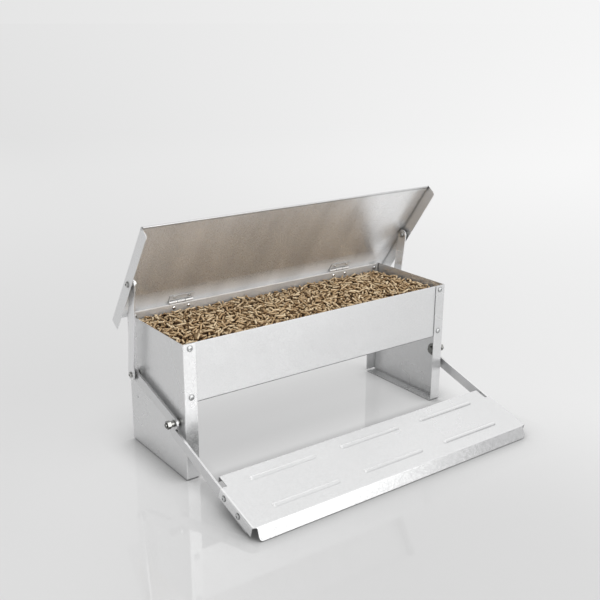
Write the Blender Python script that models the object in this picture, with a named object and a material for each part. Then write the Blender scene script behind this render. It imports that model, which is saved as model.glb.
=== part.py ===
"""Treadle feeder for poultry, in folded galvanised sheet.

Two folded end panels carry a long trough. A hen steps on the plate in front, its two
arms turn about a bolt in each end panel, and the rear ends of the arms push up two flat
links that lift the lid. The model stands as in use: plate down on the floor, lid open.

X runs along the trough, the plate is towards -Y, and +Z is up. Lengths are in metres.
Inside this script Y is counted from the middle of the trough, and one empty at the end
of the chain moves the whole feeder, so that the origin lies under the middle of its box.
"""

import bpy
import bmesh
from math import asin, atan2, cos, degrees, hypot, pi, radians, sin, sqrt
from mathutils import Matrix, Vector

# Clearances
GAP = 0.0003  # left between pieces that touch
PLAY = 0.00035  # radial play of a hole round its bolt, rivet or pin
FLOOR_GAP = 0.0002  # the plate's lip stops this far above the floor

# End panels
STAND_LENGTH = 0.496  # over the outer faces of the two panels
PANEL_DEPTH = 0.170
PANEL_HEIGHT = 0.206
PANEL_SHEET = 0.001
PANEL_BEND = 0.0016
FLANGE_WIDTH = 0.020
PANEL_RELIEF = 0.003
LOCK_HOLE_RADIUS = 0.0024
LOCK_HOLE_INSET = 0.022  # from the panel's rear face
LOCK_HOLE_Z = 0.0780

# Trough
TROUGH_SHEET = 0.0008
TROUGH_BEND = 0.0022
TROUGH_FLOOR_HEIGHT = 0.1165
TROUGH_END_ROOM = 0.0009  # between the trough's ends and the panels

# Blind rivets
RIVET_SHANK = 0.0020
RIVET_HEAD = 0.0044
RIVET_HEAD_HEIGHT = 0.0016
RIVET_DIMPLE = 0.0016
RIVET_DIMPLE_DEPTH = 0.0006
RIVET_BULB = 0.0032
RIVET_BULB_LENGTH = 0.0024
FLANGE_RIVET_INSET = 0.011  # from the panel's outer face
FLANGE_RIVET_DROP = 0.0070  # the upper ones, below the rim
FLANGE_RIVET_RISE = 0.0101  # the lower ones, above the trough's floor

# Pivot of the treadle arms, one bolt through each end panel
PIVOT_INSET = 0.019  # from the panel's front face
PIVOT_Z = 0.085
PIVOT_BOLT = 0.0030
PIVOT_HEX = 0.0105
PIVOT_HEAD_HEIGHT = 0.0053
PIVOT_NUT_HEIGHT = 0.0052
PIVOT_THREAD_END = 0.0020
PIVOT_SPACER_LENGTH = 0.0044
PIVOT_SPACER_RADIUS = 0.0048
PIVOT_BUSHING_LENGTH = 0.0056
PIVOT_BUSHING_RADIUS = 0.0046
PIVOT_WASHER_RADIUS = 0.0105
PIVOT_WASHER_THICKNESS = 0.0015

# Treadle arms
ARM_THICKNESS = 0.003
ARM_WIDTH = 0.016
ARM_TILT = radians(17.3)
ARM_STEP = 0.0078  # the front strip's top edge runs this far below the pivot
ARM_FRONT_REACH = 0.2000  # from the pivot, along the arm
ARM_REAR_REACH = 0.1255
ARM_REAR_DROP = 0.0029  # the link bolt lies this far below the arm's axis
ARM_PIVOT_EYE = 0.0090
ARM_LINK_EYE = 0.0085
ARM_WEB_LENGTH = 0.026

# Treadle plate
PLATE_ARM_ROOM = 0.0002  # between the arm's outer face and the plate's side flange
PLATE_RUN = 0.1015  # from the rear edge down the slope to the front fold
PLATE_SLOPE = radians(15.8)
PLATE_SHEET = 0.0011
PLATE_BEND = 0.0016
PLATE_SIDE_FLANGE = 0.0145
PLATE_REAR_FLANGE = 0.0100
PLATE_LIP = 0.0186
PLATE_LIP_BEND = radians(52.5)
PLATE_LIP_INSET = 0.0070
PLATE_LIP_CORNER = 0.0050
NOTCH_WIDTH = 0.0110
NOTCH_DEPTH = 0.0215
PLATE_RIVET_RUNS = (0.0330, 0.0680)
PLATE_RIVET_DROP = 0.0078

# Pressed ribs of the plate, two rows of three
RIB_LENGTH = 0.112
RIB_WIDTH = 0.0072
RIB_HEIGHT = 0.0023
RIB_ROW_RUNS = (0.0222, 0.0778)
RIB_PITCH = 0.155

# Hinges, two pairs of leaves
HINGE_LIFT = 0.0028  # the axis above the trough's rim
HINGE_LENGTH = 0.042
HINGE_SPREAD = 0.157  # from the middle of the feeder to the middle of a hinge
HINGE_LEAF_THICKNESS = 0.0011
HINGE_LEAF_WIDTH = 0.0135
HINGE_KNUCKLE = 0.0024
HINGE_PIN = 0.0011
HINGE_PIN_OVERHANG = 0.0005
HINGE_ROOM = 0.0005  # radial room that a leaf leaves round the other leaf's knuckles
HINGE_RIVET_PITCH = 0.0254  # between the two rivets of a leaf
HINGE_RIVET_RUN = 0.0093  # from the hinge axis
HINGE_RIVET_SHANK = 0.0014
HINGE_RIVET_HEAD = 0.0029
HINGE_RIVET_HEAD_HEIGHT = 0.0013
HINGE_RIVET_TAIL = 0.0023
HINGE_RIVET_TAIL_HEIGHT = 0.0008

# Lid
LID_FRONT_OVERHANG = 0.0112  # past the panels' front face, with the lid shut
LID_SHEET = 0.0008
LID_BEND = 0.0013
LID_FLANGE = 0.020
LID_FLANGE_CORNER = 0.0045
LID_OVERHANG = 0.0178  # behind the hinge axis
LID_RELIEF = 0.0025
HEM_DEPTH = 0.0024
HEM_RETURN = 0.008
LID_OPENING = radians(55.5)

# Links
LINK_WIDTH = 0.018
LINK_THICKNESS = 0.002
LINK_SPACER_LENGTH = 0.0024
LINK_UPPER_SPACER_LENGTH = 0.0046
LINK_BOLT = 0.0025
LINK_BOLT_HEAD = 0.0043
LINK_BOLT_HEAD_HEIGHT = 0.0026
LINK_BOLT_SOCKET = 0.0032  # across the flats of its hexagon socket
LINK_BOLT_SOCKET_DEPTH = 0.0015
LINK_NUT_HEX = 0.0080
LINK_NUT_HEIGHT = 0.0033
LINK_BOLT_END = 0.0012  # past the nut
LINK_SPACER_RADIUS = 0.0050
LID_BOLT_RUN = 0.0915  # from the lid's rear edge to the bolt in its flange
LID_BOLT_DROP = 0.0100  # below the lid's underside

# Facets
ROUND_SIDES = 20
SMALL_SIDES = 12
SMALL_RADIUS = 0.0028  # holes up to this size get the smaller number of sides
FOLD_SEGMENTS = 3

# Places that follow from the sizes
PANEL_OUT = STAND_LENGTH / 2
PANEL_IN = PANEL_OUT - PANEL_SHEET
PANEL_FRONT = -PANEL_DEPTH / 2
PANEL_REAR = PANEL_DEPTH / 2
TROUGH_END = PANEL_IN - TROUGH_END_ROOM
TROUGH_FRONT = PANEL_FRONT + PANEL_SHEET + GAP
TROUGH_REAR = PANEL_REAR - PANEL_SHEET - GAP
LOCK_HOLE_Y = PANEL_REAR - LOCK_HOLE_INSET
PIVOT_Y = PANEL_FRONT + PIVOT_INSET
FLANGE_RIVET_UPPER_Z = PANEL_HEIGHT - FLANGE_RIVET_DROP
FLANGE_RIVET_LOWER_Z = TROUGH_FLOOR_HEIGHT + FLANGE_RIVET_RISE
FLANGE_RIVET_X = PANEL_OUT - FLANGE_RIVET_INSET
FLANGE_GRIP = PANEL_SHEET + GAP + TROUGH_SHEET
ARM_IN = PANEL_OUT + PIVOT_SPACER_LENGTH + 2 * GAP
ARM_OUT = ARM_IN + ARM_THICKNESS
PLATE_OUT = ARM_OUT + PLATE_ARM_ROOM + PLATE_SHEET
PLATE_GRIP = PLATE_OUT - ARM_IN
LINK_IN = ARM_OUT + LINK_SPACER_LENGTH + 2 * GAP
LINK_OUT = LINK_IN + LINK_THICKNESS
LID_OUT = LINK_OUT + LINK_UPPER_SPACER_LENGTH + 2 * GAP + LID_SHEET
HINGE_Y = TROUGH_REAR + GAP
HINGE_Z = PANEL_HEIGHT + HINGE_LIFT
LID_UNDERSIDE = HINGE_KNUCKLE + GAP  # above the hinge axis when the lid is shut
LID_TOP = LID_UNDERSIDE + LID_SHEET
LID_FRONT = PANEL_FRONT - LID_FRONT_OVERHANG - HINGE_Y
LID_GRIP = LID_SHEET + GAP + HINGE_LEAF_THICKNESS
WALL_GRIP = TROUGH_SHEET + GAP + HINGE_LEAF_THICKNESS
LID_BOLT_Y = LID_OVERHANG - LID_BOLT_RUN
LID_BOLT_Z = LID_UNDERSIDE - LID_BOLT_DROP


def turned(y, z, angle):
    """The point (y, z) turned about the X axis."""
    return y * cos(angle) - z * sin(angle), y * sin(angle) + z * cos(angle)


# Where the link's two bolts lie from the pivot and from the hinge, with the lid open
LINK_FOOT = turned(ARM_REAR_REACH, -ARM_REAR_DROP, ARM_TILT)
LINK_HEAD = turned(LID_BOLT_Y, LID_BOLT_Z, -LID_OPENING)
LINK_RISE_Y = HINGE_Y + LINK_HEAD[0] - PIVOT_Y - LINK_FOOT[0]
LINK_RISE_Z = HINGE_Z + LINK_HEAD[1] - PIVOT_Z - LINK_FOOT[1]
LINK_LENGTH = hypot(LINK_RISE_Y, LINK_RISE_Z)
LINK_LEAN = atan2(-LINK_RISE_Y, LINK_RISE_Z)

# The plate stands on the floor by the lower edge of its lip
LIP_ANGLE = PLATE_SLOPE + PLATE_LIP_BEND
LIP_FOOT = PLATE_RUN * sin(PLATE_SLOPE) + PLATE_LIP * sin(LIP_ANGLE)
LIP_INNER = PLATE_SHEET * cos(LIP_ANGLE)
PLATE_REAR_Z = LIP_FOOT + LIP_INNER + FLOOR_GAP
ARM_TOP_DROP = ARM_STEP / cos(ARM_TILT)
PLATE_SEAT = (PLATE_SHEET + GAP) / cos(PLATE_SLOPE)
NOTCH_RUN_Y = NOTCH_DEPTH * cos(PLATE_SLOPE)
NOTCH_RUN_Z = NOTCH_DEPTH * sin(PLATE_SLOPE)
ARM_FALL = PIVOT_Z - ARM_TOP_DROP - (PLATE_REAR_Z - NOTCH_RUN_Z - PLATE_SEAT)
PLATE_REAR_Y = PIVOT_Y - ARM_FALL * cos(ARM_TILT) / sin(ARM_TILT) + NOTCH_RUN_Y

# The feeder's box reaches from the lip's lower edge to the lid's rear edge
BOX_FRONT = PLATE_REAR_Y - PLATE_RUN * cos(PLATE_SLOPE) - PLATE_LIP * cos(LIP_ANGLE)
BOX_REAR = HINGE_Y + turned(LID_OVERHANG, LID_TOP, -LID_OPENING)[0]
MIDDLE_Y = (BOX_FRONT + BOX_REAR) / 2


def finish(name, colour, roughness, metallic):
    """A plain surface with one colour."""
    made = bpy.data.materials.new(name)
    made.use_nodes = True
    shader = made.node_tree.nodes["Principled BSDF"]
    shader.inputs["Base Color"].default_value = (*colour, 1.0)
    shader.inputs["Roughness"].default_value = roughness
    shader.inputs["Metallic"].default_value = metallic
    return made


def axis_empty(name, place, turn=0.0, parent=None):
    """An empty that carries pieces; its X axis is a hinge line."""
    empty = bpy.data.objects.new(name, None)
    empty.location = place
    empty.rotation_euler = (turn, 0.0, 0.0)
    empty.parent = parent
    bpy.context.scene.collection.objects.link(empty)
    return empty


def make(name, mesh, surface, parent):
    """Link one named piece to the scene, with its mesh and material."""
    made = bpy.data.objects.new(name, mesh)
    if surface is not None:
        mesh.materials.append(surface)
    made.parent = parent
    bpy.context.scene.collection.objects.link(made)
    return made


def mesh_from(bm, name, smooth=False):
    """Turn a bmesh into a mesh with its faces pointing out."""
    bmesh.ops.recalc_face_normals(bm, faces=bm.faces)
    mesh = bpy.data.meshes.new(name)
    bm.to_mesh(mesh)
    bm.free()
    if smooth:
        mesh.shade_smooth()
        mesh.set_sharp_from_angle(angle=radians(40))
    return mesh


def folded_sheet(name, panels, thickness, bend, surface, parent):
    """Fold a sheet from flat panels that share edges, round the folds and give it thickness.

    The panels are the outer surface, so the thickness goes inwards.
    """
    bm = bmesh.new()
    corners = {}
    for panel in panels:
        ring = []
        for point in panel:
            key = tuple(round(value, 7) for value in point)
            if key not in corners:
                corners[key] = bm.verts.new(point)
            ring.append(corners[key])
        bm.faces.new(ring)
    bmesh.ops.recalc_face_normals(bm, faces=bm.faces)
    middle = sum((vert.co for vert in bm.verts), Vector()) / len(bm.verts)
    outward = sum(
        face.normal.dot(face.calc_center_median() - middle) * face.calc_area() for face in bm.faces
    )
    if outward < 0:
        bmesh.ops.reverse_faces(bm, faces=bm.faces)
    mesh = bpy.data.meshes.new(name)
    bm.to_mesh(mesh)
    bm.free()
    sheet = make(name, mesh, surface, parent)
    folds = sheet.modifiers.new("folds", "BEVEL")
    folds.width = bend
    folds.segments = FOLD_SEGMENTS
    folds.limit_method = "ANGLE"
    folds.angle_limit = radians(20)
    gauge = sheet.modifiers.new("gauge", "SOLIDIFY")
    gauge.thickness = thickness
    gauge.offset = -1.0
    gauge.use_even_offset = True
    return sheet


def combine(piece, helper, operation):
    """Cut a helper shape out of a piece, or add it. The helper isn't a piece itself."""
    helper.hide_render = True
    helper.display_type = "WIRE"
    step = piece.modifiers.new(helper.name, "BOOLEAN")
    step.operation = operation
    step.solver = "EXACT"
    step.object = helper


def rods(name, stretches, direction, parent):
    """One helper shape of round rods along an axis, each given as (middle, radius, length)."""
    bm = bmesh.new()
    turn = Matrix.Rotation(0.0 if direction == "Z" else pi / 2, 4, "Y" if direction == "X" else "X")
    for middle, radius, length in stretches:
        bmesh.ops.create_cone(
            bm,
            cap_ends=True,
            segments=ROUND_SIDES if radius > SMALL_RADIUS else SMALL_SIDES,
            radius1=radius,
            radius2=radius,
            depth=length,
            matrix=Matrix.Translation(middle) @ turn,
        )
    return make(name, mesh_from(bm, name), None, parent)


def drill(piece, holes, depth, direction="X"):
    """Drill round holes through a piece. Each hole is (centre, radius)."""
    stretches = [(centre, radius, depth) for centre, radius in holes]
    name = f"holes_{len(piece.modifiers)}_{piece.name}"
    combine(piece, rods(name, stretches, direction, piece.parent), "DIFFERENCE")


def prism(outline, x_from, x_to, name):
    """A flat plate: an outline in Y and Z, from one X to another."""
    bm = bmesh.new()
    face = bm.faces.new([bm.verts.new((x_from, y, z)) for y, z in outline])
    grown = bmesh.ops.extrude_face_region(bm, geom=[face])
    moved = [item for item in grown["geom"] if isinstance(item, bmesh.types.BMVert)]
    bmesh.ops.translate(bm, verts=moved, vec=(x_to - x_from, 0.0, 0.0))
    return mesh_from(bm, name)


def arc(centre, radius, start, stop, steps):
    """Points along a round stretch of an outline, angles in degrees."""
    points = []
    for index in range(steps + 1):
        angle = radians(start + (stop - start) * index / steps)
        points.append((centre[0] + radius * cos(angle), centre[1] + radius * sin(angle)))
    return points


def revolve(name, profile, sides):
    """Spin a profile of (x, radius) points about the X axis."""
    bm = bmesh.new()
    verts = [bm.verts.new((x, radius, 0.0)) for x, radius in profile]
    edges = [bm.edges.new(pair) for pair in zip(verts, verts[1:])]
    if profile[0][1] > 0.0:
        edges.append(bm.edges.new((verts[-1], verts[0])))
    bmesh.ops.spin(
        bm, geom=verts + edges, cent=(0, 0, 0), axis=(1, 0, 0), angle=2 * pi, steps=sides, use_merge=True
    )
    bmesh.ops.remove_doubles(bm, verts=bm.verts, dist=1e-6)
    return mesh_from(bm, name, smooth=True)


def hexagon(name, across_flats, x_from, x_to):
    """A six-sided prism along X."""
    corner = across_flats / sqrt(3)
    outline = [(corner * cos(pi * k / 3), corner * sin(pi * k / 3)) for k in range(6)]
    return prism(outline, x_from, x_to, name)


def tube(name, inner, outer, x_from, x_to, place, surface, parent):
    """A washer or spacer round a bolt."""
    profile = [(x_from, inner), (x_to, inner), (x_to, outer), (x_from, outer)]
    made = make(name, revolve(name, profile, ROUND_SIDES), surface, parent)
    made.location = place
    return made


def hex_bolt(name, across_flats, head, shank, shank_radius, place, surface, parent):
    """A hexagon with a round shank through it. Head and shank are pairs of X values."""
    profile = [(shank[0], 0.0), (shank[0], shank_radius), (shank[1], shank_radius), (shank[1], 0.0)]
    made = make(name, revolve(name, profile, ROUND_SIDES), surface, parent)
    made.location = place
    helper = make("hex_" + name, hexagon("hex_" + name, across_flats, *head), None, parent)
    helper.location = place
    combine(made, helper, "UNION")
    return made


def hex_nut(name, across_flats, bore, x_from, x_to, place, surface, parent):
    """A hexagon nut with its bore."""
    made = make(name, hexagon(name, across_flats, x_from, x_to), surface, parent)
    made.location = place
    middle = ((x_from + x_to) / 2, 0.0, 0.0)
    bore_rod = rods("bore_" + name, [(middle, bore, 4 * abs(x_to - x_from))], "X", parent)
    bore_rod.location = place
    combine(made, bore_rod, "DIFFERENCE")
    return made


def round_bolt(name, head, head_radius, shank_end, shank_radius, place, surface, parent):
    """A bolt with a low domed head. Its X values run from the head's crown to the shank's end."""
    crown, seat = head
    rise = seat - crown
    profile = [
        (crown, 0.0),
        (crown, 0.45 * head_radius),
        (crown + 0.25 * rise, 0.78 * head_radius),
        (crown + 0.6 * rise, head_radius),
        (seat, head_radius),
        (seat, shank_radius),
        (shank_end, shank_radius),
        (shank_end, 0.0),
    ]
    made = make(name, revolve(name, profile, ROUND_SIDES), surface, parent)
    made.location = place
    floor = crown + LINK_BOLT_SOCKET_DEPTH * (1 if rise > 0 else -1)
    socket = hexagon("socket_" + name, LINK_BOLT_SOCKET, crown - rise, floor)
    helper = make("socket_" + name, socket, None, parent)
    helper.location = place
    combine(made, helper, "DIFFERENCE")
    return made


def rivet_mesh(name, grip):
    """A blind rivet along X: head from GAP on the -X side of x = 0, bulb past the grip."""
    seat = -GAP
    crown = seat - RIVET_HEAD_HEIGHT
    far = grip + GAP
    profile = [
        (crown + RIVET_DIMPLE_DEPTH, 0.0),
        (crown + RIVET_DIMPLE_DEPTH, 0.7 * RIVET_DIMPLE),
        (crown, RIVET_DIMPLE),
        (crown + 0.35 * RIVET_HEAD_HEIGHT, 0.75 * RIVET_HEAD),
        (crown + 0.75 * RIVET_HEAD_HEIGHT, RIVET_HEAD),
        (seat, RIVET_HEAD),
        (seat, RIVET_SHANK),
        (far, RIVET_SHANK),
        (far, RIVET_BULB),
        (far + 0.7 * RIVET_BULB_LENGTH, RIVET_BULB),
        (far + RIVET_BULB_LENGTH, 0.5 * RIVET_BULB),
        (far + RIVET_BULB_LENGTH, 0.0),
    ]
    return revolve(name, profile, SMALL_SIDES)


def side_name(side):
    return "left" if side < 0 else "right"


def end_panel(side, surface, parent):
    """One end of the feeder: a web with flanges folded in at the front, rear and foot."""
    out = side * PANEL_OUT
    inner = side * (PANEL_OUT - FLANGE_WIDTH)
    front, rear, top = PANEL_FRONT, PANEL_REAR, PANEL_HEIGHT
    cut = PANEL_RELIEF
    web = [
        (out, front, cut),
        (out, front, top),
        (out, rear, top),
        (out, rear, cut),
        (out, rear - cut, 0.0),
        (out, front + cut, 0.0),
    ]
    front_flange = [(out, front, cut), (out, front, top), (inner, front, top), (inner, front, cut)]
    rear_flange = [(out, rear, cut), (out, rear, top), (inner, rear, top), (inner, rear, cut)]
    foot = [
        (out, front + cut, 0.0),
        (out, rear - cut, 0.0),
        (inner, rear - cut, 0.0),
        (inner, front + cut, 0.0),
    ]
    panel = folded_sheet(
        "end_panel_" + side_name(side),
        [web, front_flange, rear_flange, foot],
        PANEL_SHEET,
        PANEL_BEND,
        surface,
        parent,
    )
    drill(
        panel,
        [
            ((out, PIVOT_Y, PIVOT_Z), PIVOT_BOLT + PLAY),
            ((out, LOCK_HOLE_Y, LOCK_HOLE_Z), LOCK_HOLE_RADIUS),
        ],
        4 * PANEL_SHEET,
    )
    return panel


def leaf_rivet_mesh(name, grip):
    """A small solid rivet along X: round head on the -X side of x = 0, flat tail past the grip."""
    seat = -GAP
    crown = seat - HINGE_RIVET_HEAD_HEIGHT
    far = grip + GAP
    profile = [
        (crown, 0.0),
        (crown + 0.12 * HINGE_RIVET_HEAD_HEIGHT, 0.5 * HINGE_RIVET_HEAD),
        (crown + 0.5 * HINGE_RIVET_HEAD_HEIGHT, 0.87 * HINGE_RIVET_HEAD),
        (seat, HINGE_RIVET_HEAD),
        (seat, HINGE_RIVET_SHANK),
        (far, HINGE_RIVET_SHANK),
        (far, HINGE_RIVET_TAIL),
        (far + HINGE_RIVET_TAIL_HEIGHT, 0.85 * HINGE_RIVET_TAIL),
        (far + HINGE_RIVET_TAIL_HEIGHT, 0.0),
    ]
    return revolve(name, profile, SMALL_SIDES)


def flange_rivet_places():
    """The rivets through the panels' flanges and the trough, as (side, facing, x, y, z)."""
    places = []
    for side in (-1, 1):
        for facing, face_y in ((-1, PANEL_FRONT), (1, PANEL_REAR)):
            for z in (FLANGE_RIVET_UPPER_Z, FLANGE_RIVET_LOWER_Z):
                places.append((side, facing, side * FLANGE_RIVET_X, face_y, z))
    return places


def drill_flange_rivets(piece, sides):
    """Holes along Y for the flange rivets on the given sides."""
    centres = [(x, y, z) for side, facing, x, y, z in flange_rivet_places() if side in sides]
    drill(piece, [(centre, RIVET_SHANK + PLAY) for centre in centres], 6 * FLANGE_GRIP, "Y")


def leaf_rivet_rows(sides=(-1, 1)):
    """The X places of the rivets in the hinge leaves on the given sides."""
    half = HINGE_RIVET_PITCH / 2
    return [side * HINGE_SPREAD + step for side in sides for step in (-half, half)]


def trough(surface, parent):
    """Front wall, floor and rear wall in one sheet; the end panels close its ends."""
    profile = [
        (TROUGH_FRONT, PANEL_HEIGHT),
        (TROUGH_FRONT, TROUGH_FLOOR_HEIGHT),
        (TROUGH_REAR, TROUGH_FLOOR_HEIGHT),
        (TROUGH_REAR, PANEL_HEIGHT),
    ]
    panels = []
    for start, stop in zip(profile, profile[1:]):
        panels.append(
            [(-TROUGH_END, *start), (-TROUGH_END, *stop), (TROUGH_END, *stop), (TROUGH_END, *start)]
        )
    made = folded_sheet("trough", panels, TROUGH_SHEET, TROUGH_BEND, surface, parent)
    drill_flange_rivets(made, (-1, 1))
    holes = [(x, TROUGH_REAR, HINGE_Z - HINGE_RIVET_RUN) for x in leaf_rivet_rows()]
    drill(made, [(centre, HINGE_RIVET_SHANK + PLAY) for centre in holes], 6 * WALL_GRIP, "Y")
    return made


def flange_rivets(surface, parent):
    """Eight rivets that join the trough to the flanges."""
    mesh = rivet_mesh("flange_rivet", FLANGE_GRIP)
    mesh.materials.append(surface)
    for side, facing, x, y, z in flange_rivet_places():
        level = "upper" if z == FLANGE_RIVET_UPPER_Z else "lower"
        face = "front" if facing < 0 else "rear"
        rivet = make(f"{face}_rivet_{level}_{side_name(side)}", mesh, None, parent)
        rivet.location = (x, y, z)
        rivet.rotation_euler = (0.0, 0.0, -facing * pi / 2)


def pivot_set(side, surfaces, parent):
    """The bolt that one treadle arm turns on, with its washer, spacer, bushing and nut."""
    name = side_name(side)
    place = (0.0, PIVOT_Y, PIVOT_Z)
    bore = PIVOT_BOLT + PLAY
    washer_out = PANEL_IN - GAP
    washer_in = washer_out - PIVOT_WASHER_THICKNESS
    head_out = washer_in - GAP
    head_in = head_out - PIVOT_HEAD_HEIGHT
    bushing_in = ARM_OUT + GAP
    bushing_out = bushing_in + PIVOT_BUSHING_LENGTH
    nut_in = bushing_out + GAP
    nut_out = nut_in + PIVOT_NUT_HEIGHT
    hex_bolt(
        "pivot_bolt_" + name,
        PIVOT_HEX,
        (side * head_in, side * head_out),
        (side * (head_in + PIVOT_HEAD_HEIGHT / 2), side * (nut_out + PIVOT_THREAD_END)),
        PIVOT_BOLT,
        place,
        surfaces["bolt"],
        parent,
    )
    for kind, radius, x_from, x_to, surface in (
        ("pivot_washer_", PIVOT_WASHER_RADIUS, washer_in, washer_out, "washer"),
        ("pivot_spacer_", PIVOT_SPACER_RADIUS, PANEL_OUT + GAP, ARM_IN - GAP, "spacer"),
        ("pivot_bushing_", PIVOT_BUSHING_RADIUS, bushing_in, bushing_out, "spacer"),
    ):
        tube(kind + name, bore, radius, side * x_from, side * x_to, place, surfaces[surface], parent)
    hex_nut(
        "pivot_nut_" + name,
        PIVOT_HEX,
        bore,
        side * nut_in,
        side * nut_out,
        place,
        surfaces["bolt"],
        parent,
    )


def arm_outline():
    """One arm seen from the side, in the arm's own axis, with the pivot at the origin.

    The rear lever carries both eyes on its middle line. The front strip is stepped down
    by half its width, so that it meets the underside of the plate.
    """
    half = ARM_WIDTH / 2
    link_eye = (ARM_REAR_REACH, -ARM_REAR_DROP)
    low_top = -ARM_STEP
    low_bottom = low_top - ARM_WIDTH
    meet = 180 + degrees(asin(ARM_STEP / ARM_PIVOT_EYE))
    points = arc(link_eye, ARM_LINK_EYE, -90, 90, 8)
    points += arc((0.0, 0.0), ARM_PIVOT_EYE, 90, meet, 8)
    points += [(-ARM_FRONT_REACH, low_top), (-ARM_FRONT_REACH, low_bottom)]
    points += [(0.0, low_bottom), (ARM_WEB_LENGTH, -half)]
    return points


def arm(side, surface, parent):
    """One treadle arm: a flat strip on edge, outside the end panel."""
    outline = [turned(y, z, ARM_TILT) for y, z in arm_outline()]
    name = "treadle_arm_" + side_name(side)
    made = make(name, prism(outline, side * ARM_IN, side * ARM_OUT, name), surface, parent)
    middle = side * (ARM_IN + ARM_OUT) / 2
    drill(
        made,
        [((middle, 0.0, 0.0), PIVOT_BOLT + PLAY), ((middle, *LINK_FOOT), LINK_BOLT + PLAY)],
        4 * ARM_THICKNESS,
    )
    return made


def plate_panels():
    """The flat panels of the treadle plate, in its own frame: rear edge at y = 0, top at z = 0."""
    half = PLATE_OUT
    inner = half - NOTCH_WIDTH
    lip_half = half - PLATE_LIP_INSET
    fold = -PLATE_RUN
    side_front = fold + PLATE_BEND
    lip_y = fold - PLATE_LIP * cos(PLATE_LIP_BEND)
    lip_z = -PLATE_LIP * sin(PLATE_LIP_BEND)
    corner = PLATE_LIP_CORNER / PLATE_LIP
    top = [
        (-inner, 0.0, 0.0),
        (-inner, -NOTCH_DEPTH, 0.0),
        (-half, -NOTCH_DEPTH, 0.0),
        (-half, side_front, 0.0),
        (-lip_half, fold, 0.0),
        (lip_half, fold, 0.0),
        (half, side_front, 0.0),
        (half, -NOTCH_DEPTH, 0.0),
        (inner, -NOTCH_DEPTH, 0.0),
        (inner, 0.0, 0.0),
    ]
    panels = [top]
    panels.append(
        [
            (-inner, 0.0, 0.0),
            (inner, 0.0, 0.0),
            (inner, 0.0, -PLATE_REAR_FLANGE),
            (-inner, 0.0, -PLATE_REAR_FLANGE),
        ]
    )
    for side in (-1, 1):
        panels.append(
            [
                (side * half, -NOTCH_DEPTH, 0.0),
                (side * half, side_front, 0.0),
                (side * half, side_front, -PLATE_SIDE_FLANGE),
                (side * half, -NOTCH_DEPTH, -PLATE_SIDE_FLANGE),
            ]
        )
    lip = [(-lip_half, fold, 0.0), (lip_half, fold, 0.0)]
    for side in (1, -1):
        centre = (side * (lip_half - PLATE_LIP_CORNER), 1 - corner)
        angles = (0, 30, 60, 90) if side > 0 else (90, 120, 150, 180)
        for angle in angles:
            along = centre[0] + PLATE_LIP_CORNER * cos(radians(angle))
            share = centre[1] + corner * sin(radians(angle))
            lip.append((along, fold + (lip_y - fold) * share, lip_z * share))
    panels.append(lip)
    return panels


def rib_level(bm, centre_x, run, half_width, height):
    """One level of a rib: a slot outline at one height."""
    straight = (RIB_LENGTH - RIB_WIDTH) / 2
    ring = []
    for end in (1, -1):
        start = -90 if end > 0 else 90
        for y, x in arc((0.0, 0.0), half_width, start, start + 180, 6):
            ring.append(bm.verts.new((centre_x + end * straight + y, -run + x, height)))
    return ring


def rib_domes(name, shrink, bottom, parent):
    """The six ribs as closed domes. The inner set is smaller by the sheet's thickness."""
    radius = (RIB_WIDTH * RIB_WIDTH / 4 + RIB_HEIGHT * RIB_HEIGHT) / (2 * RIB_HEIGHT)
    depth = radius - RIB_HEIGHT
    top = RIB_HEIGHT - shrink
    bm = bmesh.new()
    for run in RIB_ROW_RUNS:
        for column in (-1, 0, 1):
            rings = []
            for height in (bottom, 0.0, 0.4 * top, 0.75 * top, 0.97 * top):
                reach = max(height, 0.0) + depth
                half_width = sqrt((radius - shrink) ** 2 - reach * reach)
                rings.append(rib_level(bm, column * RIB_PITCH, run, half_width, height))
            bm.faces.new(rings[0])
            bm.faces.new(rings[-1])
            for lower, upper in zip(rings, rings[1:]):
                count = len(lower)
                for index in range(count):
                    after = (index + 1) % count
                    bm.faces.new((lower[index], lower[after], upper[after], upper[index]))
    return make(name, mesh_from(bm, name), None, parent)


def treadle_plate(surface, parent):
    """The plate the hen steps on: folded down on all sides, with six pressed ribs."""
    plate = folded_sheet("treadle_plate", plate_panels(), PLATE_SHEET, PLATE_BEND, surface, parent)
    raised = rib_domes("ribs_outside", 0.0, -PLATE_SHEET / 2, parent)
    combine(plate, raised, "UNION")
    hollow = rib_domes("ribs_inside", PLATE_SHEET, -2 * PLATE_SHEET, parent)
    combine(plate, hollow, "DIFFERENCE")
    holes = []
    for side in (-1, 1):
        for run in PLATE_RIVET_RUNS:
            holes.append(((side * PLATE_OUT, -run, -PLATE_RIVET_DROP), RIVET_SHANK + PLAY))
    drill(plate, holes, 4 * PLATE_SHEET)
    return plate


def plate_rivets(surface, parent, arms):
    """Two rivets at each side join the plate's side flange to its arm."""
    mesh = rivet_mesh("plate_rivet", PLATE_GRIP)
    mesh.materials.append(surface)
    for side in (-1, 1):
        for number, run in enumerate(PLATE_RIVET_RUNS, 1):
            rivet = make(f"plate_rivet_{number}_{side_name(side)}", mesh, None, parent)
            rivet.location = (side * PLATE_OUT, -run, -PLATE_RIVET_DROP)
            rivet.rotation_euler = (0.0, 0.0, 0.0 if side < 0 else pi)
        middle = side * (ARM_IN + ARM_OUT) / 2
        stretches = [
            ((middle, -run, -PLATE_RIVET_DROP), RIVET_SHANK + PLAY, 4 * ARM_THICKNESS)
            for run in PLATE_RIVET_RUNS
        ]
        holes = rods("rivet_holes_arm_" + side_name(side), stretches, "X", parent)
        combine(arms[side], holes, "DIFFERENCE")


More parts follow.
